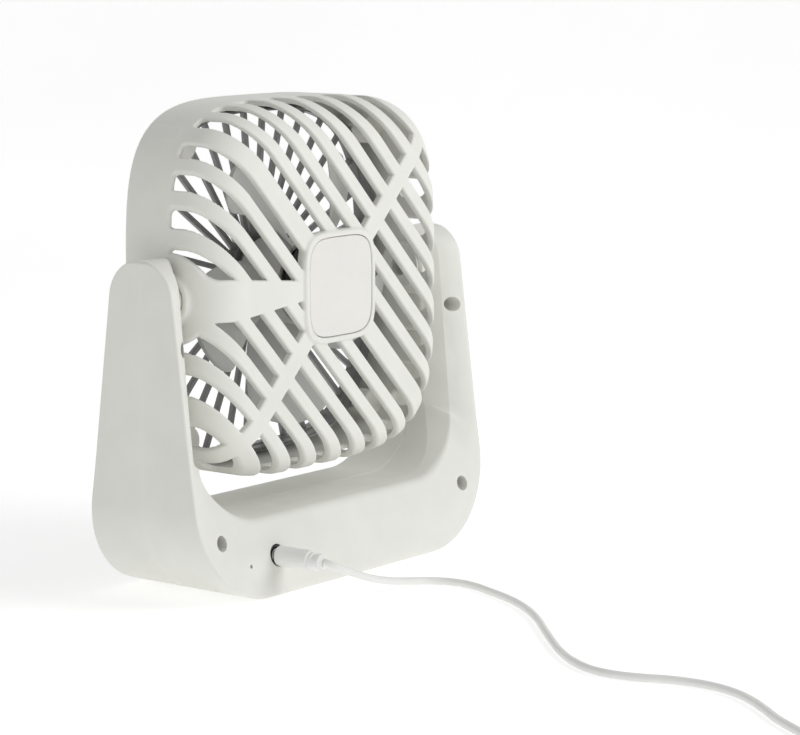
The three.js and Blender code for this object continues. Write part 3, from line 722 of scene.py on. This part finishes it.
def hole_tools(sign):
    """Every hole that is cut into one of the shells."""
    wall = STAND_HALF - ARM + 1
    tools = [
        cylinder(ARM_HOLE, x - 2.5, x + 2.5, (0, 0, PIVOT_Z), "x") for x in (wall, -wall)
    ]
    feet = [place for place in FOOT_PLACES if place[1] * sign > 0]
    tools += [cylinder(5.3, -1, STAND_BOTTOM + 1.2, (x, y, 0), "z") for x, y in feet]
    if sign > 0:
        for x, z in SCREW_PLACES:
            profile = [
                (0, -1), (1.5, -1), (1.5, SCREW_SEAT),
                (SCREW_HOLE, SCREW_SEAT), (SCREW_HOLE, 40), (0, 40),
            ]
            tools.append(lathe("cutter", profile, (x, 0, z), sides=48))
        tools.append(cylinder(4.25, 20, 40, (JACK_PLACE[0], 0, JACK_PLACE[1])))
        tools.append(cylinder(0.75, 20, 40, (LED_PLACE[0], 0, LED_PLACE[1]), sides=24))
    else:
        tools.append(cylinder(BUTTON_RADIUS + 0.3, -40, -20, (0, 0, BUTTON_Z), sides=64))
    return merged("holes", tools)


def make_stand_shell(name, sign):
    shell = stand_loft(name, sign)
    cavity = stand_loft("cavity", sign, inset=STAND_WALL, top=CAVITY_TOP, shrink=2.2)
    cut(cavity, screw_bosses(sign))
    cut(shell, cavity)
    cut(shell, hole_tools(sign))
    shade(shell.data, math.radians(32))
    return shell


rear_shell = make_stand_shell("stand_rear_half", 1)
stand_for(rear_shell, "stand", "housing", "stand_rear_shell")
front_shell = make_stand_shell("stand_front_half", -1)
stand_for(front_shell, "stand", "housing", "stand_front_shell")

# ---- small turned pieces ----------------------------------------------------------


def make_feet():
    for name in [n for n in frame["nodes"] if n.startswith("foot_")]:
        low, high = box(name)
        radius, top = (high.x - low.x) / 2, high.z
        profile = rounded([(0, 0), (radius - 0.4, 0), (radius, 0.5), (radius, top), (0, top)], 0.3)
        ring = [(radius - 1.6, 0), (radius - 1.9, 0.25), (radius - 2.3, 0.25), (radius - 2.6, 0)]
        profile = [(0, 0)] + ring[::-1] + profile[1:]
        centre = ((low.x + high.x) / 2, (low.y + high.y) / 2, 0)
        foot = lathe(name + "_pad", profile, centre, "z", 48)
        stand_for(foot, "stand", "rubber", name)


def screw_mesh(head, head_height, shank, length, recess):
    """A round-headed cross screw along Y. The head's face is at y = 0 and faces +Y."""
    turns = [math.pi / 2 * k / 5 for k in range(4, -1, -1)]
    dome = [(head * math.cos(a), -head_height * 0.55 * (1 - math.sin(a))) for a in turns]
    profile = [(0, 0)] + dome + [
        (head, -head_height), (shank, -head_height), (shank, -length + shank), (0, -length),
    ]
    screw = lathe("screw", profile, (0, 0, 0), "y", 32)
    for x, z in ((recess, recess * 0.3), (recess * 0.3, recess)):
        rings = [
            [(a * x * k, y, b * z * k) for a, b in ((-1, -1), (1, -1), (1, 1), (-1, 1))]
            for y, k in ((1, 1.1), (-head_height * 0.75, 0.6))
        ]
        cut(screw, loft("cutter", rings))
    shade(screw.data)
    mesh = screw.data.copy()
    bpy.data.objects.remove(screw)
    return mesh


def place_screws(mesh, names, body, to_rear):
    """A copy of the screw for each CAD screw whose name starts with names."""
    for name in [n for n in frame["nodes"] if n.startswith(names)]:
        low, high = box(name)
        place = (low + high) / 2
        place.y = high.y if to_rear else low.y
        copy = mesh.copy()
        if not to_rear:
            copy.transform(Matrix.Rotation(math.pi, 4, "X"))
        copy.transform(Matrix.Translation(place * MM))
        stand_for(placed(name + "_cross", copy), body, "steel", name)


def make_screws():
    place_screws(screw_mesh(2.6, 2, 1.2, 14.8, 1.45), "stand_screw_", "stand", True)
    place_screws(screw_mesh(1.9, 1.2, 0.9, 12.4, 1.0), "bezel_screw_", "head", False)


def make_pivots():
    for side, name in ((1, "left_pivot"), (-1, "right_pivot")):
        profile = rounded([
            (3.9, 75), (3.9, 68), (9.4, 68), (9.4, 69.9), (6.9, 69.9), (6.9, 75, 0.9),
            (5.5, 75), (5.5, 82), (3.9, 82), (3.9, 75.1),
        ], 0.3)
        profile = [(r, side * x) for r, x in profile]
        pivot = lathe(name + "_sleeve", profile, (0, 0, PIVOT_Z), "x", 56)
        stand_for(pivot, "head", "housing", name)


BUTTON_FACE, BUTTON_SLOPE = -28.9, 0.267


def make_button():
    face = BUTTON_FACE
    profile = rounded([
        (0, -21.8), (7.2, -21.8), (7.2, -23), (BUTTON_RADIUS, -23), (BUTTON_RADIUS, face, 0.7),
        (4.6, face, 0.5), (3.9, face + 0.35, 0.5), (0, face + 0.45),
    ], 0.15, 5)
    button = lathe("speed_button_cap", profile, (0, 0, BUTTON_Z), "y", 64)
    for v in button.data.vertices:
        if v.co.y < -25 * MM:
            v.co.y += BUTTON_SLOPE * (v.co.z - BUTTON_Z * MM)
    stand_for(button, "button", "housing", "speed_button")


def make_jack():
    x, z = JACK_PLACE
    face = box("dc_jack")[1].y
    profile = rounded([
        (2.9, 20), (2.9, face, 0.3), (4, face, 0.25), (4, 13.9),
        (0.9, 13.9), (0.9, 16), (2.9, 16), (2.9, 19.9),
    ], 0.2)
    jack = lathe("dc_jack_socket", profile, (x, 0, z), "y", 48)
    stand_for(jack, "stand", "black_plastic", "dc_jack")


make_feet()
make_screws()
make_pivots()
make_button()
make_jack()

# ---- rear badge, bezel and grille --------------------------------------------------


def reach(c, s, half, exponent):
    """How far a superellipse reaches along the unit direction (c, s)."""
    return half / (abs(c) ** exponent + abs(s) ** exponent) ** (1 / exponent)


def superellipse_ring(half, exponent, y, sides=128):
    ring = []
    for i in range(sides):
        a = 2 * math.pi * (i + 0.5) / sides
        c, s = math.cos(a), math.sin(a)
        size = reach(c, s, half, exponent)
        ring.append((size * c, y, PIVOT_Z + size * s))
    return ring


def make_badge():
    low, high = box("rear_badge")
    half, top = high.x, high.y
    steps = [
        (half, low.y), (half, top - 0.35), (half - 0.08, top - 0.15), (half - 0.25, top - 0.04),
        (half - 0.5, top),
    ]
    badge = loft("rear_badge_plate", [superellipse_ring(h, BADGE_EXPONENT, y) for h, y in steps])
    stand_for(badge, "head", "badge", "rear_badge")


BEZEL_HALF, BEZEL_OPENING = 70.3, 67.8
GRILLE_EXPONENT = 3.25
BEZEL_FRONT, BEZEL_BACK = HEAD_FRONT, -19.5


def rim_loft(name, section, sides=192):
    """A closed frame. section(c, s) gives its (radius, y) profile along that direction."""
    rows = []
    for i in range(sides):
        a = 2 * math.pi * (i + 0.5) / sides
        c, s = math.cos(a), math.sin(a)
        rows.append([(c * r, y, PIVOT_Z + s * r) for r, y in section(c, s)])
    return loft(name, rows, closed_row=True)


def make_bezel():
    def section(c, s):
        outer = reach(c, s, BEZEL_HALF, HEAD_EXPONENT)
        inner = reach(c, s, BEZEL_OPENING, GRILLE_EXPONENT)
        return rounded([
            (inner, BEZEL_BACK), (inner, BEZEL_FRONT, 0.6),
            (outer, BEZEL_FRONT, 0.5), (outer, BEZEL_BACK),
        ], 0.5, 5)

    bezel = rim_loft("front_bezel_ring", section)
    for sx in (-1, 1):
        for sz in (-1, 1):
            x, z = sx * CORNER_SCREW, PIVOT_Z + sz * CORNER_SCREW
            profile = [(0, -30), (2.2, -30), (2.2, -21.1), (1.3, -21.1), (1.3, -10), (0, -10)]
            cut(bezel, lathe("cutter", profile, (x, 0, z), "y", 40))
    shade(bezel.data)
    stand_for(bezel, "head", "housing", "front_bezel")


GRILLE_FINS, FIN_WIDTH = 36, 2.1
GRILLE_FRONT, GRILLE_BACK, FIN_BACK = -22.2, -17.3, -19.5
GRILLE_HUB, GRILLE_RING = 15, 66.3
COLLAR_BACK, COLLAR_STEP = -12.6, 0.55
FLANGE_HALF, FLANGE_EXPONENT = 69.4, 2.75


def grille_rim(c, s):
    inner = reach(c, s, GRILLE_RING, GRILLE_EXPONENT)
    outer = reach(c, s, BEZEL_OPENING - 0.3, GRILLE_EXPONENT)
    flange = max(reach(c, s, FLANGE_HALF, FLANGE_EXPONENT), outer + 0.05)
    set_back = inner + COLLAR_STEP
    return rounded([
        (outer, -20), (outer, GRILLE_FRONT, 0.5), (inner, GRILLE_FRONT, 0.5),
        (inner, GRILLE_BACK, 0.2), (set_back, GRILLE_BACK + 0.3, 0.1),
        (set_back, COLLAR_BACK, 0.2), (outer, COLLAR_BACK, 0.2), (outer, GRILLE_BACK, 0),
        (flange, GRILLE_BACK, 0), (flange, -19.2, 0), (outer, -19.2, 0), (outer, -19.9),
    ], 0.2)


def grille_fin(angle):
    half = FIN_WIDTH / 2
    turns = [math.pi * k / 10 for k in range(11)]
    section = [
        (-half + 0.25, FIN_BACK), (-half, FIN_BACK - 0.25),
        *[(-half * math.cos(a), GRILLE_FRONT + half - half * math.sin(a)) for a in turns],
        (half, FIN_BACK - 0.25), (half - 0.25, FIN_BACK),
    ]
    along = Vector((math.sin(angle), 0, math.cos(angle)))
    side = Vector((math.cos(angle), 0, -math.sin(angle)))
    end = reach(along.x, along.z, GRILLE_RING, GRILLE_EXPONENT) + 0.5
    rows = [
        [tuple(along * r + side * t + Vector((0, y, PIVOT_Z))) for t, y in section]
        for r in (GRILLE_HUB + 1.5, end)
    ]
    return loft("fin", rows)


def make_grille():
    parts = [grille_fin(2 * math.pi * (i + 0.5) / GRILLE_FINS) for i in range(GRILLE_FINS)]
    parts.append(rim_loft("rim", grille_rim))
    hub = rounded([
        (GRILLE_HUB, -20), (GRILLE_HUB, GRILLE_FRONT), (18.5, GRILLE_FRONT, 0.8),
        (18.5, GRILLE_BACK), (GRILLE_HUB, GRILLE_BACK), (GRILLE_HUB, -19.9),
    ], 0.3)
    parts.append(lathe("hub", hub, HEAD_CENTRE, "y", 96))
    grille = merged("front_grille_fins", parts)
    stand_for(grille, "head", "grille", "front_grille")


def make_front_cap():
    radius = GRILLE_HUB - 0.3
    dome = [(radius * k / 8, -23.6 + 0.9 * (k / 8) ** 2) for k in range(8)]
    groove = [
        (radius * share, y)
        for share, y in ((0.80, -22.95), (0.815, -22.65), (0.835, -22.65), (0.85, -22.85))
    ]
    profile = [(0, -23.6)] + dome[1:7] + groove + rounded(
        [(radius * 0.87, -22.88), (radius, -22.5, 0.5), (radius, -19), (0, -19)], 0.3
    )
    cap = lathe("front_cap_dome", profile, HEAD_CENTRE, "y", 96)
    stand_for(cap, "head", "housing", "front_cap")


make_badge()
make_bezel()
make_grille()
make_front_cap()

# ---- impeller and motor ------------------------------------------------------------

HUB_RADIUS, HUB_WALL = 17, 2
HUB_FRONT, HUB_BACK = -15, 6
BLADE_TIP = 57.2
BLADES, FIRST_BLADE = 5, 10.7
BLADE_MIDDLE = -1.9
# Root and tip values: half the angle that a blade covers, and half its depth along the axis.
BLADE_HALF_ANGLE, BLADE_HALF_DEPTH = (21.2, 19.1), (8.2, 5.4)
BLADE_SWEEP = 27.9
BLADE_ROUND_FROM = 0.8
BLADE_THICKNESS = 1.7


def make_blade(angle):
    """A swept, twisted blade that is thickest along its middle, with round corners at the tip."""
    rings = []
    chord = [math.sin(math.pi / 2 * (k / 8 - 1)) for k in range(17)]
    along = [-0.03] + [BLADE_ROUND_FROM * k / 14 for k in range(15)]
    end = 1 - BLADE_ROUND_FROM
    along += [BLADE_ROUND_FROM + end * math.sin(math.pi / 2 * k / 12) for k in range(1, 13)]
    for s in along:
        radius = HUB_RADIUS + (BLADE_TIP - HUB_RADIUS) * s
        past = max(0, (s - BLADE_ROUND_FROM) / end)
        left = math.sqrt(max(1 - past ** 2.4, 0)) * 0.985 + 0.015
        half_angle = math.radians(mix(BLADE_HALF_ANGLE, s)) * left
        depth = mix(BLADE_HALF_DEPTH, s) * left
        middle = math.radians(angle + BLADE_SWEEP * s)

        def point(t, lift):
            phi = middle + half_angle * t
            y = BLADE_MIDDLE + depth * t + 0.7 * (1 - t * t) + lift
            return (radius * math.sin(phi), y, PIVOT_Z + radius * math.cos(phi))

        thick = [BLADE_THICKNESS / 2 * (0.12 + 0.88 * math.sqrt(max(1 - t ** 4, 0))) for t in chord]
        upper = [point(t, h) for t, h in zip(chord, thick)]
        lower = [point(t, -h) for t, h in zip(chord[::-1], thick[::-1])]
        rings.append(upper + lower)
    return loft("blade", rings, angle=math.radians(60))


def make_impeller():
    inside = HUB_RADIUS - HUB_WALL
    cup = rounded([
        (3.3, -10), (3.3, HUB_FRONT), (HUB_RADIUS - 0.5, HUB_FRONT, 2.4),
        (HUB_RADIUS, HUB_FRONT + 0.5, 1.5), (HUB_RADIUS, HUB_BACK, 0.4),
        (inside, HUB_BACK, 0.4), (inside, HUB_FRONT + HUB_WALL + 1, 1.2),
        (5, HUB_FRONT + HUB_WALL + 0.4, 0.5), (5, -5), (3.3, -5), (3.3, -9.9),
    ], 0.3, 5)
    parts = [lathe("cup", cup, HEAD_CENTRE, "y", 96)]
    parts += [make_blade(FIRST_BLADE + 360 / BLADES * i) for i in range(BLADES)]
    impeller = merged("impeller_blades", parts)
    stand_for(impeller, "fan", "blade", "impeller")


def make_motor_bracket():
    low, high = box("motor_bracket")
    radius, front, back = high.x, low.y, high.y
    can = 12.5
    cup = rounded([
        (0, 17.5), (can, 17.5), (can, front, 0.4), (radius - 2.2, front, 0.5),
        (radius, front + 1.6, 0.8), (radius, back, 0.3), (0, back),
    ], 0.3, 4)
    bracket = lathe("motor_bracket_cup", cup, HEAD_CENTRE, "y", 96)
    for x in (-15.8, 15.8):
        cut(bracket, cylinder(1.1, 0, 30, (x, 0, PIVOT_Z), sides=24))
    shade(bracket.data)
    stand_for(bracket, "head", "black_plastic", "motor_bracket")


make_impeller()
make_motor_bracket()

# ---- plugs and coil tie --------------------------------------------------------------


def make_dc_plug():
    x, z = JACK_PLACE
    low, high = (corner.y for corner in box("dc_plug_body"))
    body = rounded([
        (0, low), (3.9, low, 0.45), (4.0, low + 2, 1), (4.0, 44.6, 0.45),
        (3.3, 44.9, 0.2), (3.3, 46.2, 0.2),
        (2.9, 46.4, 0.2), (2.9, 48.3, 0.2), (3.3, 48.5, 0.2), (3.3, 50.1, 0.3), (2.3, 50.5, 0.2),
        (1.75, high, 0.2), (0, high),
    ], 0.3, 4)
    plug = lathe("dc_plug_moulding", body, (x, 0, z), "y", 64)
    stand_for(plug, "stand", "cable", "dc_plug_body")
    pin_low, pin_high = (corner.y for corner in box("dc_plug_pin"))
    sleeve = rounded([
        (1.1, 24), (1.1, pin_low), (2.6, pin_low, 0.3), (2.6, 27.6, 0.1), (2.45, 27.75, 0.1),
        (2.45, 28.2, 0.1), (2.6, 28.35, 0.1), (2.6, pin_high), (1.1, pin_high), (1.1, 24.1),
    ], 0.15)
    pin = lathe("dc_plug_sleeve", sleeve, (x, 0, z), "y", 48)
    stand_for(pin, "stand", "steel", "dc_plug_pin")
    return plug, pin


def rounded_box_ring(x, y, z, half_y, half_z, exponent=5, sides=40):
    ring = []
    for i in range(sides):
        a = 2 * math.pi * i / sides
        c, s = math.cos(a), math.sin(a)
        size = reach(c, s, 1, exponent)
        ring.append((x, y + half_y * size * c, z + half_z * size * s))
    return ring


def block(name, start, end, y, z, half_y, half_z, exponent=14):
    """A block along X with rounded edges."""
    return loft(name, [rounded_box_ring(x, y, z, half_y, half_z, exponent) for x in (start, end)])


def make_usb_plug():
    low, high = box("usb_plug_body")
    y, z = (low.y + high.y) / 2, (low.z + high.z) / 2
    wide, tall = (high.y - low.y) / 2, (high.z - low.z) / 2
    shape = [
        (0, 0.9, 0.88), (0.25, 0.97, 0.96), (0.9, 1, 1), (9, 1, 1), (12, 0.99, 0.99),
        (14.5, 0.93, 0.95), (16, 0.8, 0.88), (16.8, 0.6, 0.75), (17.2, 0.42, 0.66),
        (19.4, 0.36, 0.6), (20, 0.3, 0.5),
    ]
    rings = [rounded_box_ring(low.x + d, y, z, wide * a, tall * b) for d, a, b in shape]
    body = loft("usb_plug_moulding", rings)
    for i in range(4):
        x = low.x + 11.2 + 1.1 * i
        groove = block("cutter", x, x + 0.45, y, z, wide * 1.02, tall * 1.02, 5)
        core = block("cutter", x - 0.3, x + 0.75, y, z, wide * 0.955, tall * 0.94, 5)
        cut(groove, core)
        cut(body, groove)
    shade(body.data)
    stand_for(body, "stand", "cable", "usb_plug_body")
    low, high = box("usb_plug_shell")
    wide, tall = (high.y - low.y) / 2, (high.z - low.z) / 2
    shell = block("usb_plug_sleeve", low.x, high.x, y, z, wide, tall)
    cut(shell, block("cutter", low.x - 1, high.x - 1, y, z, wide - 0.35, tall - 0.35))
    for dy in (-2.6, 2.6):
        cut(shell, block("cutter", low.x + 5.2, low.x + 7.4, y + dy, z + tall, 1.1, 1))
    shade(shell.data)
    tongue = block("tongue", low.x + 0.6, high.x - 0.9, y, z - 0.95, wide - 0.5, 0.85)
    whole = merged("usb_plug_sleeve_and_tongue", [shell, tongue])
    stand_for(whole, "stand", "steel", "usb_plug_shell")
    return body, whole


def make_tie():
    """A flat strap round the coil's turns."""
    low, high = box("coil_tie")
    centre = Vector(((low.x + high.x) / 2, 0, (low.z + high.z) / 2))
    half_x, half_z, thick = (high.x - low.x) / 2, (high.z - low.z) / 2, 0.6
    sides = 64
    rows = []
    for i in range(sides):
        a = 2 * math.pi * i / sides
        c, s = math.cos(a), math.sin(a)
        size = reach(c, s, 1, 6)
        outer = Vector((half_x * size * c, 0, half_z * size * s))
        inner = Vector(((half_x - thick) * size * c, 0, (half_z - thick) * size * s))
        row = []
        for point, y in ((inner, low.y), (outer, low.y), (outer, high.y), (inner, high.y)):
            row.append(tuple(centre + point + Vector((0, y, 0))))
        rows.append(row)
    tie = loft("coil_tie_strap", rows, closed_row=True)
    stand_for(tie, "stand", "black_plastic", "coil_tie")
    return tie


dc_plug = make_dc_plug()
usb_plug = make_usb_plug()
coil_tie = make_tie()

# ---- materials -------------------------------------------------------------------


def node_material(name):
    material = bpy.data.materials.new(name)
    material.use_nodes = True
    tree = material.node_tree
    place = node(tree, "ShaderNodeTexCoord").outputs["Object"]
    return material, tree, tree.nodes["Principled BSDF"], place


def set_sockets(shader, sockets):
    for socket, value in sockets.items():
        shader.inputs[socket.replace("_", " ")].default_value = value


def add_bump(tree, shader, height, strength, distance, invert=False):
    """Lets height lift the surface by up to distance, in millimetres."""
    bump = node(tree, "ShaderNodeBump", Strength=strength, Distance=distance * MM, invert=invert)
    tree.links.new(height, bump.inputs["Height"])
    tree.links.new(bump.outputs["Normal"], shader.inputs["Normal"])


def node(tree, kind, **settings):
    made = tree.nodes.new(kind)
    for key, value in settings.items():
        if hasattr(made, key):
            setattr(made, key, value)
        else:
            made.inputs[key.replace("_", " ")].default_value = value
    return made


def noise(tree, place, size, detail=3):
    """Noise whose features are about size millimetres across."""
    made = node(tree, "ShaderNodeTexNoise", Scale=1 / (size * MM), Detail=detail, Roughness=0.55)
    tree.links.new(place, made.inputs["Vector"])
    return made.outputs["Fac"]


def ramp(tree, value, low, high, start, end):
    """Maps low..high of a value to start..end, which are numbers or colours."""
    made = node(tree, "ShaderNodeValToRGB")
    made.color_ramp.elements[0].position = low
    made.color_ramp.elements[1].position = high
    for element, setting in zip(made.color_ramp.elements, (start, end)):
        element.color = (*(setting if isinstance(setting, tuple) else [setting] * 3), 1)
    tree.links.new(value, made.inputs["Fac"])
    return made.outputs["Color"]


def shifted(colour, factor):
    return tuple(min(c * factor, 1) for c in colour)


def finish(name, colour, roughness, grain=0.45, depth=0.02, mottle=0.03, edge_wear_and_highlight=0.04, **sockets):
    """Moulded plastic: fine grain in the surface, faint patches, and edges lighter, partly as wear and
    partly as a painted highlight.

    Grain and depth are in millimetres; mottle and the edge lightening are shares of the colour.
    """
    material, tree, shader, place = node_material(name)
    patches = noise(tree, place, 16)
    dark, light = shifted(colour, 1 - mottle), shifted(colour, 1 + mottle / 2)
    tone = ramp(tree, patches, 0.3, 0.7, dark, light)
    # Painted highlight, partly edge wear: pointy edges get a lighter colour.
    pointiness = node(tree, "ShaderNodeNewGeometry").outputs["Pointiness"]
    edges = ramp(tree, pointiness, 0.5, 0.62, 0.0, 1.0)
    mixed = node(tree, "ShaderNodeMix", data_type="RGBA", blend_type="MIX")
    tree.links.new(edges, mixed.inputs["Factor"])
    tree.links.new(tone, mixed.inputs[6])
    mixed.inputs[7].default_value = (*shifted(colour, 1 + edge_wear_and_highlight), 1)
    tree.links.new(mixed.outputs[2], shader.inputs["Base Color"])
    rough = ramp(tree, noise(tree, place, 5), 0.3, 0.7, roughness - 0.05, roughness + 0.05)
    tree.links.new(rough, shader.inputs["Roughness"])
    add_bump(tree, shader, noise(tree, place, grain, 4), 0.5, depth)
    set_sockets(shader, sockets)
    return material


def brushed(name, colour, roughness, stretch):
    """Metal with fine lines: noise that is drawn out along one axis."""
    material, tree, shader, place = node_material(name)
    squeeze = node(tree, "ShaderNodeMapping")
    squeeze.inputs["Scale"].default_value = stretch
    tree.links.new(place, squeeze.inputs["Vector"])
    streaks = noise(tree, squeeze.outputs["Vector"], 0.5, 5)
    tone = ramp(tree, streaks, 0.25, 0.75, shifted(colour, 0.86), shifted(colour, 1.08))
    tree.links.new(tone, shader.inputs["Base Color"])
    rough = ramp(tree, streaks, 0.3, 0.7, roughness - 0.06, roughness + 0.08)
    tree.links.new(rough, shader.inputs["Roughness"])
    add_bump(tree, shader, streaks, 0.3, 0.01)
    shader.inputs["Metallic"].default_value = 1
    return material


def board_material():
    """Green solder mask over copper tracks, which show as slightly lighter lines."""
    material, tree, shader, place = node_material("board")
    cells = node(tree, "ShaderNodeTexVoronoi", distance="MANHATTAN", feature="DISTANCE_TO_EDGE")
    cells.inputs["Scale"].default_value = 1 / (2.6 * MM)
    tree.links.new(place, cells.inputs["Vector"])
    mask, track = (0.012, 0.09, 0.035), (0.03, 0.16, 0.06)
    tone = ramp(tree, cells.outputs["Distance"], 0.06, 0.1, track, mask)
    tree.links.new(tone, shader.inputs["Base Color"])
    add_bump(tree, shader, cells.outputs["Distance"], 0.4, 0.03, invert=True)
    shader.inputs["Roughness"].default_value = 0.35
    return material


MATERIALS = {
    "housing": finish("housing", (0.765, 0.765, 0.72), 0.55, grain=0.35, depth=0.02),
    "badge": finish("badge", (0.755, 0.745, 0.71), 0.42, grain=0.9, depth=0.006),
    "blade": finish("blade", (0.60, 0.605, 0.585), 0.45, grain=0.5, depth=0.012),
    # The grille's and the black plastic's much lighter edges are mostly a painted highlight.
    "grille": finish("grille", (0.19, 0.19, 0.188), 0.42, grain=0.5, depth=0.012, edge_wear_and_highlight=0.5),
    "black_plastic": finish("black_plastic", (0.022, 0.022, 0.023), 0.45, grain=0.4, edge_wear_and_highlight=0.6),
    "cable": finish("cable", (0.82, 0.82, 0.8), 0.48, grain=0.8, depth=0.012, mottle=0.04),
    "rubber": finish("rubber", (0.05, 0.05, 0.052), 0.8, grain=0.25, depth=0.05),
    "board": board_material(),
    "cell_sleeve": finish("cell_sleeve", (0.03, 0.11, 0.3), 0.3, grain=2.5, depth=0.03),
    "clear_plastic": finish(
        "clear_plastic", (0.85, 0.86, 0.87), 0.2, grain=1.2, depth=0.01,
        Transmission_Weight=0.6, IOR=1.49,
    ),
    "wire": finish("wire", (0.45, 0.02, 0.02), 0.42, grain=0.6, mottle=0.08),
    "steel": brushed("steel", (0.62, 0.62, 0.63), 0.3, (1, 9, 1)),
    "brass": brushed("brass", (0.78, 0.58, 0.28), 0.32, (1, 9, 1)),
}


def paint(piece, slot):
    material = MATERIALS[slot]
    slots = piece.material_slots
    if not len(slots):
        piece.data.materials.append(material)
    for place in slots:
        place.link = "OBJECT"
        place.material = material


def paint_all():
    """Every new piece, and every CAD node that still shows, takes the material of its slot."""
    slot_of = {part["node"]: part["material_slot"] for part in frame["record"]["subparts"]}
    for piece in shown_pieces():
        name = piece.get("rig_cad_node")
        paint(piece, slot_of[name] if name else piece["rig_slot"])


paint_all()

# ---- stage and light ------------------------------------------------------------

FLOOR_REACH, FLOOR_RISE, FLOOR_TOP = 2600, 900, 2400


def make_stage():
    """A pale floor that sweeps up behind the object."""
    flat_end = FLOOR_RISE - FLOOR_REACH
    profile = [(FLOOR_REACH, 0), (flat_end, 0)]
    for i in range(1, 17):
        angle = math.pi / 2 * i / 16
        height = FLOOR_RISE * (1 - math.cos(angle))
        profile.append((flat_end - FLOOR_RISE * math.sin(angle), height))
    profile.append((-FLOOR_REACH, FLOOR_TOP))
    toward = Vector(CAMERA_PLACE) - Vector(CAMERA_TARGET)
    along = Vector((toward.x, toward.y, 0)).normalized()
    across = Vector((-along.y, along.x, 0))
    centre = (cad_low + cad_high) / 2 / MM
    centre.z = 0
    points = []
    for distance, height in profile:
        for side in (-1, 1):
            sideways = across * side * FLOOR_REACH
            points.append(centre + along * distance + sideways + Vector((0, 0, height)))
    faces = [(2 * i, 2 * i + 1, 2 * i + 3, 2 * i + 2) for i in range(len(profile) - 1)]
    mesh = mesh_from("floor", points, faces)
    mesh.shade_smooth()
    floor = placed("floor", mesh)
    material, tree, shader, place = node_material("floor")
    tone = ramp(tree, noise(tree, place, 400), 0.3, 0.7, (0.84, 0.84, 0.84), (0.87, 0.87, 0.87))
    tree.links.new(tone, shader.inputs["Base Color"])
    set_sockets(shader, {
        "Roughness": 0.9, "Specular IOR Level": 0.1,
        "Emission Color": (1, 1, 1, 1), "Emission Strength": FLOOR_GLOW,
    })
    mesh.materials.append(material)


FLOOR_GLOW = 0.44
SKY = 0.46
KEY_PLACE, KEY_SIZE, KEY_POWER = (-500, 1150, 900), 1.0, 9
SIDE_PLACE, SIDE_SIZE, SIDE_POWER = (1300, 250, 500), 0.9, 1.0


def area_light(name, place, target, size, power):
    data = bpy.data.lights.new(name, "AREA")
    data.shape = "DISK"
    data.size = size
    data.energy = power
    light = placed(name, data)
    light.location = Vector(place) * MM
    light.rotation_euler = facing(light.location, target)


def make_light():
    world = bpy.data.worlds.new("studio")
    world.use_nodes = True
    background = world.node_tree.nodes["Background"]
    background.inputs["Color"].default_value = (1, 1, 1, 1)
    background.inputs["Strength"].default_value = SKY
    scene.world = world
    target = (0, 20, 90)
    area_light("key", KEY_PLACE, target, KEY_SIZE, KEY_POWER)
    area_light("side", SIDE_PLACE, target, SIDE_SIZE, SIDE_POWER)
    scene.view_settings.view_transform = "Standard"


make_stage()
make_light()
